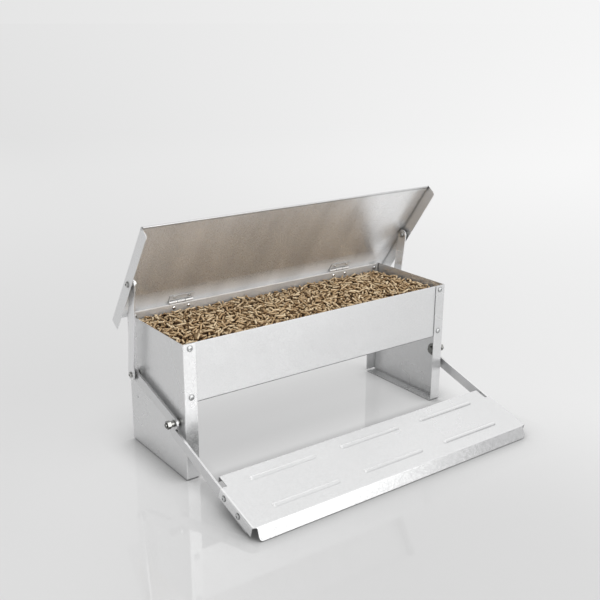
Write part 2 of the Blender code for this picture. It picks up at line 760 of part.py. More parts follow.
def lid(surface, parent):
    """The lid, in the hinge's frame as it lies when shut: top panel, side flanges, front hem."""
    rear, front, top = LID_OVERHANG, LID_FRONT, LID_TOP
    cut, chamfer = LID_RELIEF, LID_FLANGE_CORNER
    foot = top - LID_FLANGE
    panels = [
        [
            (-LID_OUT, rear, top),
            (LID_OUT, rear, top),
            (LID_OUT, front, top),
            (LID_OUT - cut, front, top),
            (cut - LID_OUT, front, top),
            (-LID_OUT, front, top),
        ]
    ]
    for side in (-1, 1):
        panels.append(
            [
                (side * LID_OUT, rear, top),
                (side * LID_OUT, front, top),
                (side * LID_OUT, front, foot + chamfer),
                (side * LID_OUT, front + 0.3 * chamfer, foot + 0.3 * chamfer),
                (side * LID_OUT, front + chamfer, foot),
                (side * LID_OUT, rear, foot),
            ]
        )
    hem = [(front, top), (front, top - HEM_DEPTH), (front + HEM_RETURN, top - HEM_DEPTH)]
    for start, stop in zip(hem, hem[1:]):
        panels.append(
            [
                (LID_OUT - cut, *start),
                (cut - LID_OUT, *start),
                (cut - LID_OUT, *stop),
                (LID_OUT - cut, *stop),
            ]
        )
    made = folded_sheet("lid", panels, LID_SHEET, LID_BEND, surface, parent)
    drill(
        made,
        [((side * LID_OUT, LID_BOLT_Y, LID_BOLT_Z), LINK_BOLT + PLAY) for side in (-1, 1)],
        6 * LID_SHEET,
    )
    rows = [((x, -HINGE_RIVET_RUN, LID_TOP), HINGE_RIVET_SHANK + PLAY) for x in leaf_rivet_rows()]
    drill(made, rows, 6 * LID_SHEET, "Z")
    return made


def knuckle_spans():
    """Three knuckles along a hinge: the wall leaf has the outer two, the lid leaf the middle."""
    third = HINGE_LENGTH / 3
    start = -HINGE_LENGTH / 2
    wall = [(start, start + third - GAP), (start + 2 * third + GAP, start + 3 * third)]
    lid_part = [(start + third + GAP, start + 2 * third - GAP)]
    return wall, lid_part


def hinge(side, surfaces, wall_parent, lid_parent):
    """A butt hinge: one leaf behind the trough's rear wall, one under the lid."""
    name = side_name(side)
    wall_spans, lid_spans = knuckle_spans()
    centre_x = side * HINGE_SPREAD
    start = centre_x - HINGE_LENGTH / 2
    stop = centre_x + HINGE_LENGTH / 2
    rest = TROUGH_REAR + GAP - HINGE_Y
    thick = HINGE_LEAF_THICKNESS
    low = -HINGE_LEAF_WIDTH
    for leaf_name, parent, spans, others in (
        ("hinge_wall_leaf_" + name, wall_parent, wall_spans, lid_spans),
        ("hinge_lid_leaf_" + name, lid_parent, lid_spans, wall_spans),
    ):
        if parent is wall_parent:
            outline = [(rest, low), (rest + thick, low), (rest + thick, 0.0), (rest, 0.0)]
        else:
            high = LID_UNDERSIDE - GAP
            outline = [(low, high), (low, high - thick), (0.0, high - thick), (0.0, high)]
        leaf = make(leaf_name, prism(outline, start, stop, leaf_name), surfaces["hinge"], parent)
        for kind, stretches, radius, longer, operation in (
            ("clear", others, HINGE_KNUCKLE + HINGE_ROOM, 4 * GAP, "DIFFERENCE"),
            ("knuckle", spans, HINGE_KNUCKLE, 0.0, "UNION"),
            ("bore", [(-HINGE_LENGTH, HINGE_LENGTH)], HINGE_PIN + PLAY, 0.0, "DIFFERENCE"),
        ):
            shape = [
                ((centre_x + (x_from + x_to) / 2, 0.0, 0.0), radius, x_to - x_from + longer)
                for x_from, x_to in stretches
            ]
            combine(leaf, rods(kind + "_" + leaf_name, shape, "X", parent), operation)
        if parent is wall_parent:
            direction, y, z = "Y", rest, -HINGE_RIVET_RUN
        else:
            direction, y, z = "Z", -HINGE_RIVET_RUN, LID_UNDERSIDE
        holes = [((x, y, z), HINGE_RIVET_SHANK + PLAY) for x in leaf_rivet_rows((side,))]
        drill(leaf, holes, 6 * thick, direction)
    reach = HINGE_LENGTH / 2 + HINGE_PIN_OVERHANG
    pin = [(-reach, 0.0), (-reach, HINGE_PIN), (reach, HINGE_PIN), (reach, 0.0)]
    pin_name = "hinge_pin_" + name
    made = make(pin_name, revolve(pin_name, pin, SMALL_SIDES), surfaces["pin"], wall_parent)
    made.location = (centre_x, 0.0, 0.0)


def leaf_rivets(surface, wall_parent, lid_parent):
    """Two rivets in each hinge leaf: heads inside the trough and on top of the lid."""
    wall_mesh = leaf_rivet_mesh("wall_leaf_rivet", WALL_GRIP)
    lid_mesh = leaf_rivet_mesh("lid_leaf_rivet", LID_GRIP)
    wall_y = TROUGH_REAR - TROUGH_SHEET - HINGE_Y
    for kind, mesh, parent, y, z, turn in (
        ("wall_leaf_rivet", wall_mesh, wall_parent, wall_y, -HINGE_RIVET_RUN, (0.0, 0.0, pi / 2)),
        ("lid_leaf_rivet", lid_mesh, lid_parent, -HINGE_RIVET_RUN, LID_TOP, (0.0, pi / 2, 0.0)),
    ):
        mesh.materials.append(surface)
        for side in (-1, 1):
            for count, x in enumerate(leaf_rivet_rows((side,)), 1):
                rivet = make(f"{kind}_{count}_{side_name(side)}", mesh, None, parent)
                rivet.location = (x, y, z)
                rivet.rotation_euler = turn


def link(side, surface, parent):
    """A flat strip with round ends that hangs from the bolt in the lid's flange."""
    half = LINK_WIDTH / 2
    outline = arc((0.0, -LINK_LENGTH), half, 180, 360, 10) + arc((0.0, 0.0), half, 0, 180, 10)
    name = "lid_link_" + side_name(side)
    made = make(name, prism(outline, side * LINK_IN, side * LINK_OUT, name), surface, parent)
    middle = side * (LINK_IN + LINK_OUT) / 2
    bore = LINK_BOLT + PLAY
    drill(made, [((middle, 0.0, 0.0), bore), ((middle, 0.0, -LINK_LENGTH), bore)], 4 * LINK_THICKNESS)


def link_bolts(side, surfaces, treadle_parent, link_parent, lid_parent):
    """The link's upper bolt in the lid's flange, and its lower pivot on the arm.

    The lower pivot is split: the bolt ends just outside the arm, and a nut with a short
    stub fills the arm's hole.
    """
    name = side_name(side)
    bore = LINK_BOLT + PLAY
    foot = (0.0, 0.0, -LINK_LENGTH)
    head_seat = LINK_OUT + GAP
    arm_face = ARM_OUT + GAP
    round_bolt(
        "link_lower_bolt_" + name,
        (side * (head_seat + LINK_BOLT_HEAD_HEIGHT), side * head_seat),
        LINK_BOLT_HEAD,
        side * arm_face,
        LINK_BOLT,
        foot,
        surfaces["bolt"],
        link_parent,
    )
    tube(
        "link_lower_spacer_" + name,
        bore,
        LINK_SPACER_RADIUS,
        side * arm_face,
        side * (LINK_IN - GAP),
        foot,
        surfaces["spacer"],
        link_parent,
    )
    nut_seat = ARM_IN - GAP
    hex_bolt(
        "link_lower_nut_" + name,
        LINK_NUT_HEX,
        (side * (nut_seat - LINK_NUT_HEIGHT), side * nut_seat),
        (side * (nut_seat - LINK_NUT_HEIGHT - LINK_BOLT_END), side * ARM_OUT),
        LINK_BOLT,
        (0.0, *LINK_FOOT),
        surfaces["bolt"],
        treadle_parent,
    )
    place = (0.0, LID_BOLT_Y, LID_BOLT_Z)
    lid_seat = LID_OUT + GAP
    nut_out = LINK_IN - GAP
    nut_in = nut_out - LINK_NUT_HEIGHT
    round_bolt(
        "link_upper_bolt_" + name,
        (side * (lid_seat + LINK_BOLT_HEAD_HEIGHT), side * lid_seat),
        LINK_BOLT_HEAD,
        side * (nut_in - LINK_BOLT_END),
        LINK_BOLT,
        place,
        surfaces["bolt"],
        lid_parent,
    )
    tube(
        "link_upper_spacer_" + name,
        bore,
        LINK_SPACER_RADIUS,
        side * (LINK_OUT + GAP),
        side * (LID_OUT - LID_SHEET - GAP),
        place,
        surfaces["spacer"],
        lid_parent,
    )
    hex_nut(
        "link_upper_nut_" + name,
        LINK_NUT_HEX,
        bore,
        side * nut_in,
        side * nut_out,
        place,
        surfaces["bolt"],
        lid_parent,
    )


def build():
    for leftover in list(bpy.data.objects):
        bpy.data.objects.remove(leftover, do_unlink=True)
    panel_zinc = finish("panel_zinc", (0.52, 0.53, 0.53), 0.42, 0.85)
    trough_zinc = finish("trough_zinc", (0.60, 0.61, 0.61), 0.40, 0.85)
    lid_zinc = finish("lid_zinc", (0.56, 0.57, 0.57), 0.35, 0.85)
    plate_zinc = finish("plate_zinc", (0.72, 0.73, 0.73), 0.45, 0.80)
    arm_steel = finish("arm_steel", (0.50, 0.50, 0.50), 0.38, 0.90)
    surfaces = {
        "bolt": finish("bolt_zinc", (0.62, 0.62, 0.60), 0.28, 0.95),
        "washer": finish("washer_zinc", (0.60, 0.60, 0.58), 0.30, 0.95),
        "spacer": finish("spacer_zinc", (0.70, 0.70, 0.68), 0.28, 0.95),
        "hinge": finish("hinge_zinc", (0.74, 0.74, 0.73), 0.30, 0.90),
        "pin": finish("pin_steel", (0.55, 0.55, 0.55), 0.25, 0.95),
        "rivet": finish("rivet_aluminium", (0.72, 0.73, 0.73), 0.32, 0.90),
    }

    stand = axis_empty("stand_frame", (0.0, -MIDDLE_Y, 0.0))
    treadle_axis = axis_empty("treadle_axis", (0.0, PIVOT_Y, PIVOT_Z), parent=stand)
    plate_place = (0.0, PLATE_REAR_Y - PIVOT_Y, PLATE_REAR_Z - PIVOT_Z)
    plate_frame = axis_empty("plate_frame", plate_place, PLATE_SLOPE, treadle_axis)
    hinge_axis = axis_empty("hinge_axis", (0.0, HINGE_Y, HINGE_Z), parent=stand)
    lid_axis = axis_empty("lid_axis", (0.0, 0.0, 0.0), -LID_OPENING, hinge_axis)
    link_place = (0.0, LID_BOLT_Y, LID_BOLT_Z)
    link_axis = axis_empty("link_axis", link_place, LINK_LEAN + LID_OPENING, lid_axis)

    for side in (-1, 1):
        panel = end_panel(side, panel_zinc, stand)
        drill_flange_rivets(panel, (side,))
        pivot_set(side, surfaces, stand)
    trough(trough_zinc, stand)
    flange_rivets(surfaces["rivet"], stand)

    arms = {side: arm(side, arm_steel, treadle_axis) for side in (-1, 1)}
    treadle_plate(plate_zinc, plate_frame)
    plate_rivets(surfaces["rivet"], plate_frame, arms)

    lid(lid_zinc, lid_axis)
    leaf_rivets(surfaces["rivet"], hinge_axis, lid_axis)
    for side in (-1, 1):
        hinge(side, surfaces, hinge_axis, lid_axis)
        link(side, arm_steel, link_axis)
        link_bolts(side, surfaces, treadle_axis, link_axis, lid_axis)
    bpy.context.view_layer.update()

    print("pivot axis", 0.0, round(PIVOT_Y - MIDDLE_Y, 6), PIVOT_Z)
    print("hinge axis", 0.0, round(HINGE_Y - MIDDLE_Y, 6), round(HINGE_Z, 6))
    head_y = HINGE_Y + LINK_HEAD[0] - MIDDLE_Y
    print("link axis", 0.0, round(head_y, 6), round(HINGE_Z + LINK_HEAD[1], 6))
    print("link length", round(LINK_LENGTH, 6), "middle of the box", round(MIDDLE_Y, 6))


build()
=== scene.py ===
# %% [markdown]
# # A treadle feeder in galvanised sheet
# This lesson dresses the bare model of a poultry feeder: a long trough between two folded end
# panels, a plate that the hen steps on, and a lid that the plate lifts. The model already has all
# its sheets, hinges, bolts and rivets. We set up the camera, give each piece its zinc or plating,
# pour feed pellets into the trough, and build the pale room that the metal mirrors.

from math import cos, degrees, pi, radians, sin

import bmesh
import bpy
import numpy as np
from mathutils import Matrix, Vector


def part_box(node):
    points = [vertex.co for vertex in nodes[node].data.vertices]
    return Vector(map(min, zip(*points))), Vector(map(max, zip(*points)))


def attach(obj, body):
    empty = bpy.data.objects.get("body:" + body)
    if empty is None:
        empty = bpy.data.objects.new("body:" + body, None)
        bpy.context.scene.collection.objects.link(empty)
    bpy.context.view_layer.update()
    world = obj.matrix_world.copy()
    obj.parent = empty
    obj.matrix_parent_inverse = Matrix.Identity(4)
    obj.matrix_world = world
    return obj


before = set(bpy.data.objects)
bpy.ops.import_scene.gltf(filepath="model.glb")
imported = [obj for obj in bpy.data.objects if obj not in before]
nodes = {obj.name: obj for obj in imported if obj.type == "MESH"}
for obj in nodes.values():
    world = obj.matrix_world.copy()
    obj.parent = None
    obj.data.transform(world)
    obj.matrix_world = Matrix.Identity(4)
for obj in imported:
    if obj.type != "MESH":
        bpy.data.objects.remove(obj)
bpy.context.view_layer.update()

# %% [markdown]
# ## The camera
# It stands in front, to the left and above, and looks down at about 18 degrees. The lens is a
# short telephoto, so the far end of the trough is only a little smaller than the near end.

# %% Place the camera
CAMERA_PLACE = (-0.78965, -1.00015, 0.63164)  # metres
CAMERA_TURN = (72.2998, -0.2716, -36.2486)  # degrees
LENS = 53.56  # millimetres
SENSOR_WIDTH = 36.0
NEAREST = 0.05  # metres
FARTHEST = 200.0

bpy.context.scene.view_settings.view_transform = "Standard"
camera = bpy.data.objects.new("camera", bpy.data.cameras.new("camera"))
camera.location = CAMERA_PLACE
camera.rotation_euler = [radians(angle) for angle in CAMERA_TURN]
camera.data.lens = LENS
camera.data.sensor_width = SENSOR_WIDTH
camera.data.clip_start = NEAREST
camera.data.clip_end = FARTHEST
bpy.context.scene.collection.objects.link(camera)
bpy.context.scene.camera = camera
print("camera at", tuple(round(v, 3) for v in camera.location), "lens", camera.data.lens)


# %% [markdown]
# ## Helpers for materials
# A material is a small network of nodes. Each node does one sum or makes one pattern, and its
# output can feed the next. Written out, that takes many lines, so we make helpers that add a node,
# set its inputs and hand back its output. Each recipe further down then reads like a short sum.
# The first helper only adds and joins nodes.

# %% A network of nodes
class Network:
    """The nodes of a material or of the world."""

    def __init__(self, owner):
        owner.use_nodes = True
        self.owner = owner
        self.tree = owner.node_tree
        self.shader = self.tree.nodes.get("Principled BSDF")

    def add(self, kind, **settings):
        """A new node with its settings."""
        node = self.tree.nodes.new(kind)
        for key, value in settings.items():
            setattr(node, key, value)
        return node

    def join(self, source, target):
        """Link an output to an input."""
        self.tree.links.new(source, target)

    def put(self, value, socket):
        """Give an input a fixed value, or link another node's output to it."""
        if isinstance(value, bpy.types.NodeSocket):
            self.join(value, socket)
        else:
            socket.default_value = value

    def set(self, node, **values):
        """Fill a node's inputs by name, with _ for a space."""
        for key, value in values.items():
            self.put(value, node.inputs[key.replace("_", " ")])
        return node


print("networks can be made")


# %% [markdown]
# Most of what a recipe does is to add and multiply, and to turn one value into another: a height
# in metres becomes a zone, which is 1 in one place and 0 elsewhere.

# %% Sums and zones
class Sums(Network):
    """Arithmetic between nodes, and values that change over a range."""

    def maths(self, operation, first, second):
        """One sum of two values."""
        node = self.add("ShaderNodeMath", operation=operation)
        self.put(first, node.inputs[0])
        self.put(second, node.inputs[1])
        return node.outputs["Value"]

    def plus(self, total, *others):
        """All values added up."""
        for value in others:
            total = self.maths("ADD", total, value)
        return total

    def times(self, total, *others):
        """All values multiplied."""
        for value in others:
            total = self.maths("MULTIPLY", total, value)
        return total

    def unsigned(self, value):
        """The value without its sign."""
        return self.maths("ABSOLUTE", value, 0.0)

    def outside(self, zone):
        """1 where the zone is 0, and 0 where it is 1."""
        return self.maths("SUBTRACT", 1.0, zone)

    def dim(self, value, zone, share):
        """The value, less this share of it inside the zone."""
        return self.times(value, self.outside(self.times(zone, share)))

    def spread(self, value, low, high, to_low, to_high):
        """Map one range of values onto another."""
        node = self.add("ShaderNodeMapRange")
        self.set(node, Value=value, From_Min=low, From_Max=high, To_Min=to_low, To_Max=to_high)
        return node.outputs["Result"]

    def ramp(self, value, low, high, to_low=0.0, to_high=1.0):
        """As spread, but with a soft start and end. 0 to 1 unless told otherwise."""
        node = self.add("ShaderNodeMapRange", interpolation_type="SMOOTHSTEP")
        self.set(node, Value=value, From_Min=low, From_Max=high, To_Min=to_low, To_Max=to_high)
        return node.outputs["Result"]

    def band(self, value, start, full, fading, end):
        """1 from full to fading, and 0 before start and after end."""
        return self.maths("SUBTRACT", self.ramp(value, start, full), self.ramp(value, fading, end))


print("sums and zones can be made")


# %% [markdown]
# A material knows where a point lies on its piece and which way the surface faces there. Nearly
# every mark on the feeder can be found from these two.

# %% Places and directions
UP = (0.0, 0.0, 1.0)
BACK = (0.0, 1.0, 0.0)
FRONT = (0.0, -1.0, 0.0)
RIGHT = (1.0, 0.0, 0.0)
LEFT = (-1.0, 0.0, 0.0)
TURNED = (0.5, 0.9)  # a surface that faces a direction less, or more, than this


class Places(Sums):
    """Where a point lies, and which way the surface faces there."""

    def place(self):
        """Where the point lies on the piece itself."""
        return self.add("ShaderNodeTexCoord").outputs["Object"]

    def vector(self, operation, first, second=None, result="Vector"):
        """A sum of vectors. Lengths, distances and products come out as Value."""
        node = self.add("ShaderNodeVectorMath", operation=operation)
        self.put(first, node.inputs[0])
        if second is not None:
            self.put(second, node.inputs[1])
        return node.outputs[result]

    def along(self, vector, direction):
        """How far a vector reaches in a direction."""
        return self.vector("DOT_PRODUCT", vector, direction, "Value")

    def faces(self, direction):
        """How far the surface faces a direction of the piece itself, 1 when straight at it."""
        return self.along(self.add("ShaderNodeTexCoord").outputs["Normal"], direction)

    def turned_to(self, direction):
        """1 where the surface faces this way, 0 where it doesn't."""
        return self.ramp(self.faces(direction), *TURNED)

    def to_world(self, direction):
        """A direction of the piece itself, as a direction in the room."""
        node = self.add("ShaderNodeVectorTransform", convert_from="OBJECT", convert_to="WORLD")
        self.put(direction, node.inputs["Vector"])
        return node.outputs["Vector"]


print("places can be read")


# %% [markdown]
# Patterns come next. They vary from place to place, so a sheet never looks painted.

# %% Patterns
CORNER_SAMPLES = 8
SPOTTY = 0.7  # a roughness of noise with much fine detail


class Patterns(Places):
    """Random patterns, and how open a place is."""

    def noise(self, where, scale, detail=3.0, roughness=0.55, result="Fac"):
        """Soft random spots, finer with a larger scale."""
        node = self.add("ShaderNodeTexNoise")
        self.set(node, Vector=where, Scale=scale, Detail=detail, Roughness=roughness)
        return node.outputs[result]

    def crystals(self, where, scale):
        """A random colour for each crystal."""
        node = self.add("ShaderNodeTexVoronoi")
        self.set(node, Vector=where, Scale=scale)
        return node.outputs["Color"]

    def corners(self, reach):
        """1 on open surfaces, less in corners and beside pieces that touch."""
        node = self.add("ShaderNodeAmbientOcclusion", samples=CORNER_SAMPLES)
        self.set(node, Distance=reach)
        return node.outputs["AO"]


print("patterns can be made")

# %% [markdown]
# The last helper adds colours and relief, and completes the recipe.

# %% Colours and relief
WHITE = (1.0, 1.0, 1.0)


class Recipe(Patterns):
    """The whole set: what a recipe needs for its colours and relief as well."""

    def channel(self, colour, index):
        """One channel of a colour."""
        node = self.add("ShaderNodeSeparateColor")
        self.join(colour, node.inputs["Color"])
        return node.outputs[index]

    def mixed(self, *channels):
        """A colour from its red, green and blue."""
        node = self.add("ShaderNodeCombineColor")
        for value, socket in zip(channels, node.inputs):
            self.put(value, socket)
        return node.outputs["Color"]

    def tint(self, value, *stops):
        """A colour ramp over a value. Stops are (position, colour)."""
        node = self.add("ShaderNodeValToRGB")
        self.join(value, node.inputs["Fac"])
        ramp = node.color_ramp
        while len(ramp.elements) < len(stops):
            ramp.elements.new(0.5)
        for element, (position, colour) in zip(ramp.elements, stops):
            element.position = position
            element.color = (*colour, 1.0)
        return node.outputs["Color"]

    def multiply(self, colour, *others):
        """Colours multiplied."""
        for other in others:
            node = self.add("ShaderNodeMix", data_type="RGBA", blend_type="MULTIPLY")
            node.inputs["Factor"].default_value = 1.0
            self.join(colour, node.inputs["A"])
            self.join(other, node.inputs["B"])
            colour = node.outputs["Result"]
        return colour

    def bump(self, height, strength, distance, normal=None):
        """The surface's direction after fine relief is laid on it."""
        node = self.add("ShaderNodeBump")
        self.set(node, Height=height, Strength=strength, Distance=distance)
        if normal is not None:
            self.join(normal, node.inputs["Normal"])
        return node.outputs["Normal"]


print("recipes can be written")

# %% [markdown]
# ## Zinc
# Hot-dip zinc freezes in crystals. Each crystal has its own shade and lies at a slightly different
# tilt, so the sheet mottles where it mirrors the edge between something light and something dark.
# We could paint that mottle on, but it would stay put under other light. So each crystal gets a
# random tilt, and the room makes the mottle.

# %% Tip the surface
CRYSTAL_TILT = 0.1


def tip(recipe, normal, colours, reach):
    """Lean the surface at random, up to half of reach on each axis of the piece."""
    centred = recipe.vector("SUBTRACT", colours, (0.5, 0.5, 0.5))
    lean = recipe.to_world(recipe.vector("MULTIPLY", centred, (reach, reach, reach)))
    return recipe.vector("ADD", normal, lean)


print("a crystal leans by up to", CRYSTAL_TILT / 2, "on each axis")

# %% [markdown]
# The shade of a sheet varies a little from crystal to crystal, and in faint clouds. Corners and places beside
# pieces that touch get painted shade, darker the less open they are.

# %% Shade of zinc
CLOUD_SCALE = 9.0
CLOUD_RANGE = (0.3, 0.7)
CLOUD_SHADE = 0.012
CORNER_SHADE_REACH = 0.006  # how far the painted shade reaches out of a corner, in metres
CORNER_SHADE_RANGE = (0.25, 0.90)  # how open a fully shaded and an unshaded place are
CORNER_SHADES = (0.30, 1.0)


def zinc_shade(recipe, shade, contrast, crystals, cloud):
    """The shade with its crystals, clouds and painted shade in the corners."""
    by_crystal = recipe.spread(recipe.channel(crystals, 0), 0.0, 1.0, -contrast, contrast)
    by_cloud = recipe.spread(cloud, *CLOUD_RANGE, -CLOUD_SHADE, CLOUD_SHADE)
    total = recipe.plus(by_crystal, by_cloud, shade)
    # painted shade: darker in corners and beside pieces that touch
    return recipe.times(total, recipe.spread(recipe.corners(CORNER_SHADE_REACH), *CORNER_SHADE_RANGE, *CORNER_SHADES))


print("dirt creeps", CORNER_SHADE_REACH * 1000, "mm out of a corner")

# %% [markdown]
# The crystals lean, the sheet as a whole is buckled a little, and fine grain lies over both.

# %% Relief of zinc
BUCKLE_SCALE = 7.0
BUCKLE_REACH = 0.06
GRAIN_SCALE = 1500.0
GRAIN_STRENGTH = 0.08
GRAIN_HEIGHT = 0.0002


def zinc_relief(recipe, where, normal, crystals, tilt):
    """The surface's direction with leaning crystals, buckles and grain."""
    normal = tip(recipe, normal, crystals, tilt)
    buckles = recipe.noise(where, BUCKLE_SCALE, detail=1.0, roughness=0.5, result="Color")
    normal = tip(recipe, normal, buckles, BUCKLE_REACH)
    normal = recipe.vector("NORMALIZE", normal)
    return recipe.bump(recipe.noise(where, GRAIN_SCALE), GRAIN_STRENGTH, GRAIN_HEIGHT, normal)


print("a buckle leans by up to", BUCKLE_REACH / 2, "on each axis")

# %% [markdown]
# Seven kinds of sheet share one recipe. Whatever differs between them comes in as a number or as a function.
# Haze is how much the crystals differ in roughness. The shades given to the seven are partly painted light
# and shade: the one zinc is made lighter on some pieces and darker on others, as the light falls on them.

# %% Zinc sheet
CRYSTAL_SCALE = 650.0
CRYSTAL_CONTRAST = 0.02
CLOUD_ROUGHNESS = 0.02
ZINC_CAST = (0.0, 0.002, 0.005)  # added to red, green and blue


def zinc(
    name,
    shade,
    roughness,
    metal,
    tilt=CRYSTAL_TILT,
    flake=CRYSTAL_SCALE,
    contrast=CRYSTAL_CONTRAST,
    haze=0.0,
    wear_and_painted_light=None,
    soften=None,
):
    """Galvanised sheet. Metal is a number, or a function where it differs over the sheet."""
    recipe = Recipe(bpy.data.materials.new(name))
    where = recipe.place()
    crystals = recipe.crystals(where, flake)
    cloud = recipe.noise(where, CLOUD_SCALE)

    total = zinc_shade(recipe, shade, contrast, crystals, cloud)
    if wear_and_painted_light:
        total = wear_and_painted_light(recipe, where, total)
    colour = recipe.mixed(*(recipe.plus(total, cast) for cast in ZINC_CAST))

    smooth, dull = roughness - haze, roughness + haze
    rough = recipe.spread(recipe.channel(crystals, 1), 0.0, 1.0, smooth, dull)
    clouded = recipe.spread(cloud, *CLOUD_RANGE, -CLOUD_ROUGHNESS, CLOUD_ROUGHNESS)
    rough = recipe.plus(rough, clouded)

    normal = recipe.add("ShaderNodeNewGeometry").outputs["Normal"]
    if soften:
        normal = soften(recipe, where, normal)
    relief = zinc_relief(recipe, where, normal, crystals, tilt)

    metallic = metal(recipe, where) if callable(metal) else metal
    recipe.set(recipe.shader, Base_Color=colour, Metallic=metallic, Roughness=rough, Normal=relief)
    return recipe.owner


print("zinc recipe ready")

# %% [markdown]
# ## Where each sheet differs
# No sheet is the same all over. The marks below are painted light and shade, and each belongs to a place: a
# fold, an edge or one face. A zone finds that place, and lightens or darkens the zinc there. First we name
# the directions of the two sloping sheets.

# %% Directions of the sloping sheets
PLATE_SLOPE = radians(15.8)  # the plate dips towards the front
LID_OPENING = radians(55.5)
PLATE_UP = (0.0, -sin(PLATE_SLOPE), cos(PLATE_SLOPE))
PLATE_DOWNHILL = (0.0, -cos(PLATE_SLOPE), -sin(PLATE_SLOPE))
LID_INSIDE = (0.0, -sin(LID_OPENING), -cos(LID_OPENING))
print("the lid's inner face looks towards", [round(v, 2) for v in LID_INSIDE])

# %% [markdown]
# The end panels stand at the left and right. The left panel's front flange gets blotchy painted shade below
# the pivot, where it would mirror the dark plate and arm, and a painted highlight above. The right panel gets
# painted shade on its front flange, more towards the top, and on the face that looks into the feeder.

# %% Painted light and shade on the end panels
RIGHT_PANEL = (0.1, 0.2)  # from the middle of the feeder to the right panel
BLOTCH_SCALE = 420.0
BLOTCH_RANGE = (0.38, 0.62)
FLANGE_SHADE_HEIGHTS = (0.020, 0.042, 0.055, 0.098)  # starts, full, fading, gone
FLANGE_SHADE_SHARES = (0.42, 0.10)  # lost in the darkest and in the lightest blotch
FLANGE_HIGHLIGHT_HEIGHTS = (0.06, 0.12)
FLANGE_HIGHLIGHT_GAIN = 0.10
RIGHT_FLANGE_SHADE_HEIGHTS = (0.03, 0.16)
RIGHT_FLANGE_SHADE_SHARE = 0.13
INNER_SHADE_SHARE = 0.08


def panel_painted_light(recipe, where, shade):
    """The shade of the panels, with painted shade and a painted highlight."""
    height = recipe.along(where, UP)
    right = recipe.ramp(recipe.along(where, RIGHT), *RIGHT_PANEL)
    flange = recipe.turned_to(FRONT)
    left_flange = recipe.times(flange, recipe.outside(right))
    blotch = recipe.noise(where, BLOTCH_SCALE, roughness=SPOTTY)
    flange_painted_shade = recipe.spread(blotch, *BLOTCH_RANGE, *FLANGE_SHADE_SHARES)
    # blotchy painted shade low on the left flange, a painted highlight above it, painted shade on the right
    # panel
    shade = recipe.dim(shade, recipe.times(left_flange, recipe.band(height, *FLANGE_SHADE_HEIGHTS)), flange_painted_shade)
    shade = recipe.plus(shade, recipe.times(left_flange, recipe.ramp(height, *FLANGE_HIGHLIGHT_HEIGHTS), FLANGE_HIGHLIGHT_GAIN))
    shade = recipe.dim(shade, recipe.times(flange, right, recipe.ramp(height, *RIGHT_FLANGE_SHADE_HEIGHTS)), RIGHT_FLANGE_SHADE_SHARE)
    return recipe.dim(shade, recipe.times(recipe.turned_to(LEFT), right), INNER_SHADE_SHARE)


panel_zinc = zinc("panel_zinc_looks", shade=0.76, roughness=0.28, metal=0.60, wear_and_painted_light=panel_painted_light)
print("left_flange_painted_shade_lies between", FLANGE_SHADE_HEIGHTS[0] * 1000, "and", FLANGE_SHADE_HEIGHTS[-1] * 1000, "mm above the floor")

# %% [markdown]
# The trough is one sheet. It gets painted shade along its lower folds and towards its right end, a painted
# highlight along its cut rim, brightest at the rear, and painted light on the rear wall's inner face. Its
# upper edge hardly mirrors at all, so it stays pale where the lid's dark inside would otherwise show in it.

# %% Painted light and shade on the trough
trough_low, trough_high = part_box("trough")
rim = trough_high[2]
FOLD_HEIGHTS = (trough_low[2] + 0.0011, trough_low[2] + 0.0025)
RIM_HEIGHTS = (rim - 0.0022, rim - 0.0012)
REAR_DEPTHS = (0.14, 0.16)  # from the middle of the trough to its rear wall
SPAN = (-0.25, 0.25)  # from the left end of the feeder to the right
END_SHADES = (1.0, 0.92)
RIM_HIGHLIGHT_GAINS = (0.05, 0.24)  # at the front and at the rear
REAR_LIGHT_GAIN = 0.13
FOLD_SHADE_SHARE = 0.55
TROUGH_METALS = (0.55, 0.05)  # all over, and on the rear rim


def trough_painted_light(recipe, where, shade):
    """The shade of the trough, with painted shade on its folds and right end and painted light on its rim and
    rear wall.
    """
    height = recipe.along(where, UP)
    depth = recipe.along(where, BACK)
    # painted shade towards the right end and on the lower folds, painted highlight on the rim, painted light
    # on the rear wall
    shade = recipe.times(shade, recipe.spread(recipe.along(where, RIGHT), *SPAN, *END_SHADES))
    rim_highlight = recipe.spread(depth, *REAR_DEPTHS, *RIM_HIGHLIGHT_GAINS)
    rim_highlight = recipe.times(recipe.ramp(height, *RIM_HEIGHTS), rim_highlight)
    rear_inside = recipe.times(recipe.turned_to(FRONT), recipe.ramp(depth, *REAR_DEPTHS))
    shade = recipe.plus(shade, rim_highlight, recipe.times(rear_inside, REAR_LIGHT_GAIN))
    return recipe.dim(shade, recipe.outside(recipe.ramp(height, *FOLD_HEIGHTS)), FOLD_SHADE_SHARE)


def trough_metal(recipe, where):
    """How much the trough mirrors."""
    height = recipe.along(where, UP)
    depth = recipe.along(where, BACK)
    rear_rim = recipe.times(recipe.ramp(height, *RIM_HEIGHTS), recipe.ramp(depth, *REAR_DEPTHS))
    return recipe.spread(rear_rim, 0.0, 1.0, *TROUGH_METALS)


trough_zinc = zinc("trough_zinc_looks", shade=0.735, roughness=0.30, metal=trough_metal, wear_and_painted_light=trough_painted_light)
print("trough's rim at", round(rim * 1000, 1), "mm")

# %% [markdown]
# The lid's inside mirrors the feed and the trough, blurred by very fine crystals. Faint streaks that run up
# the inner face are painted reflection, and the hem and the side flanges get painted shade. Beside the hinges
# a strip is dull and pale.

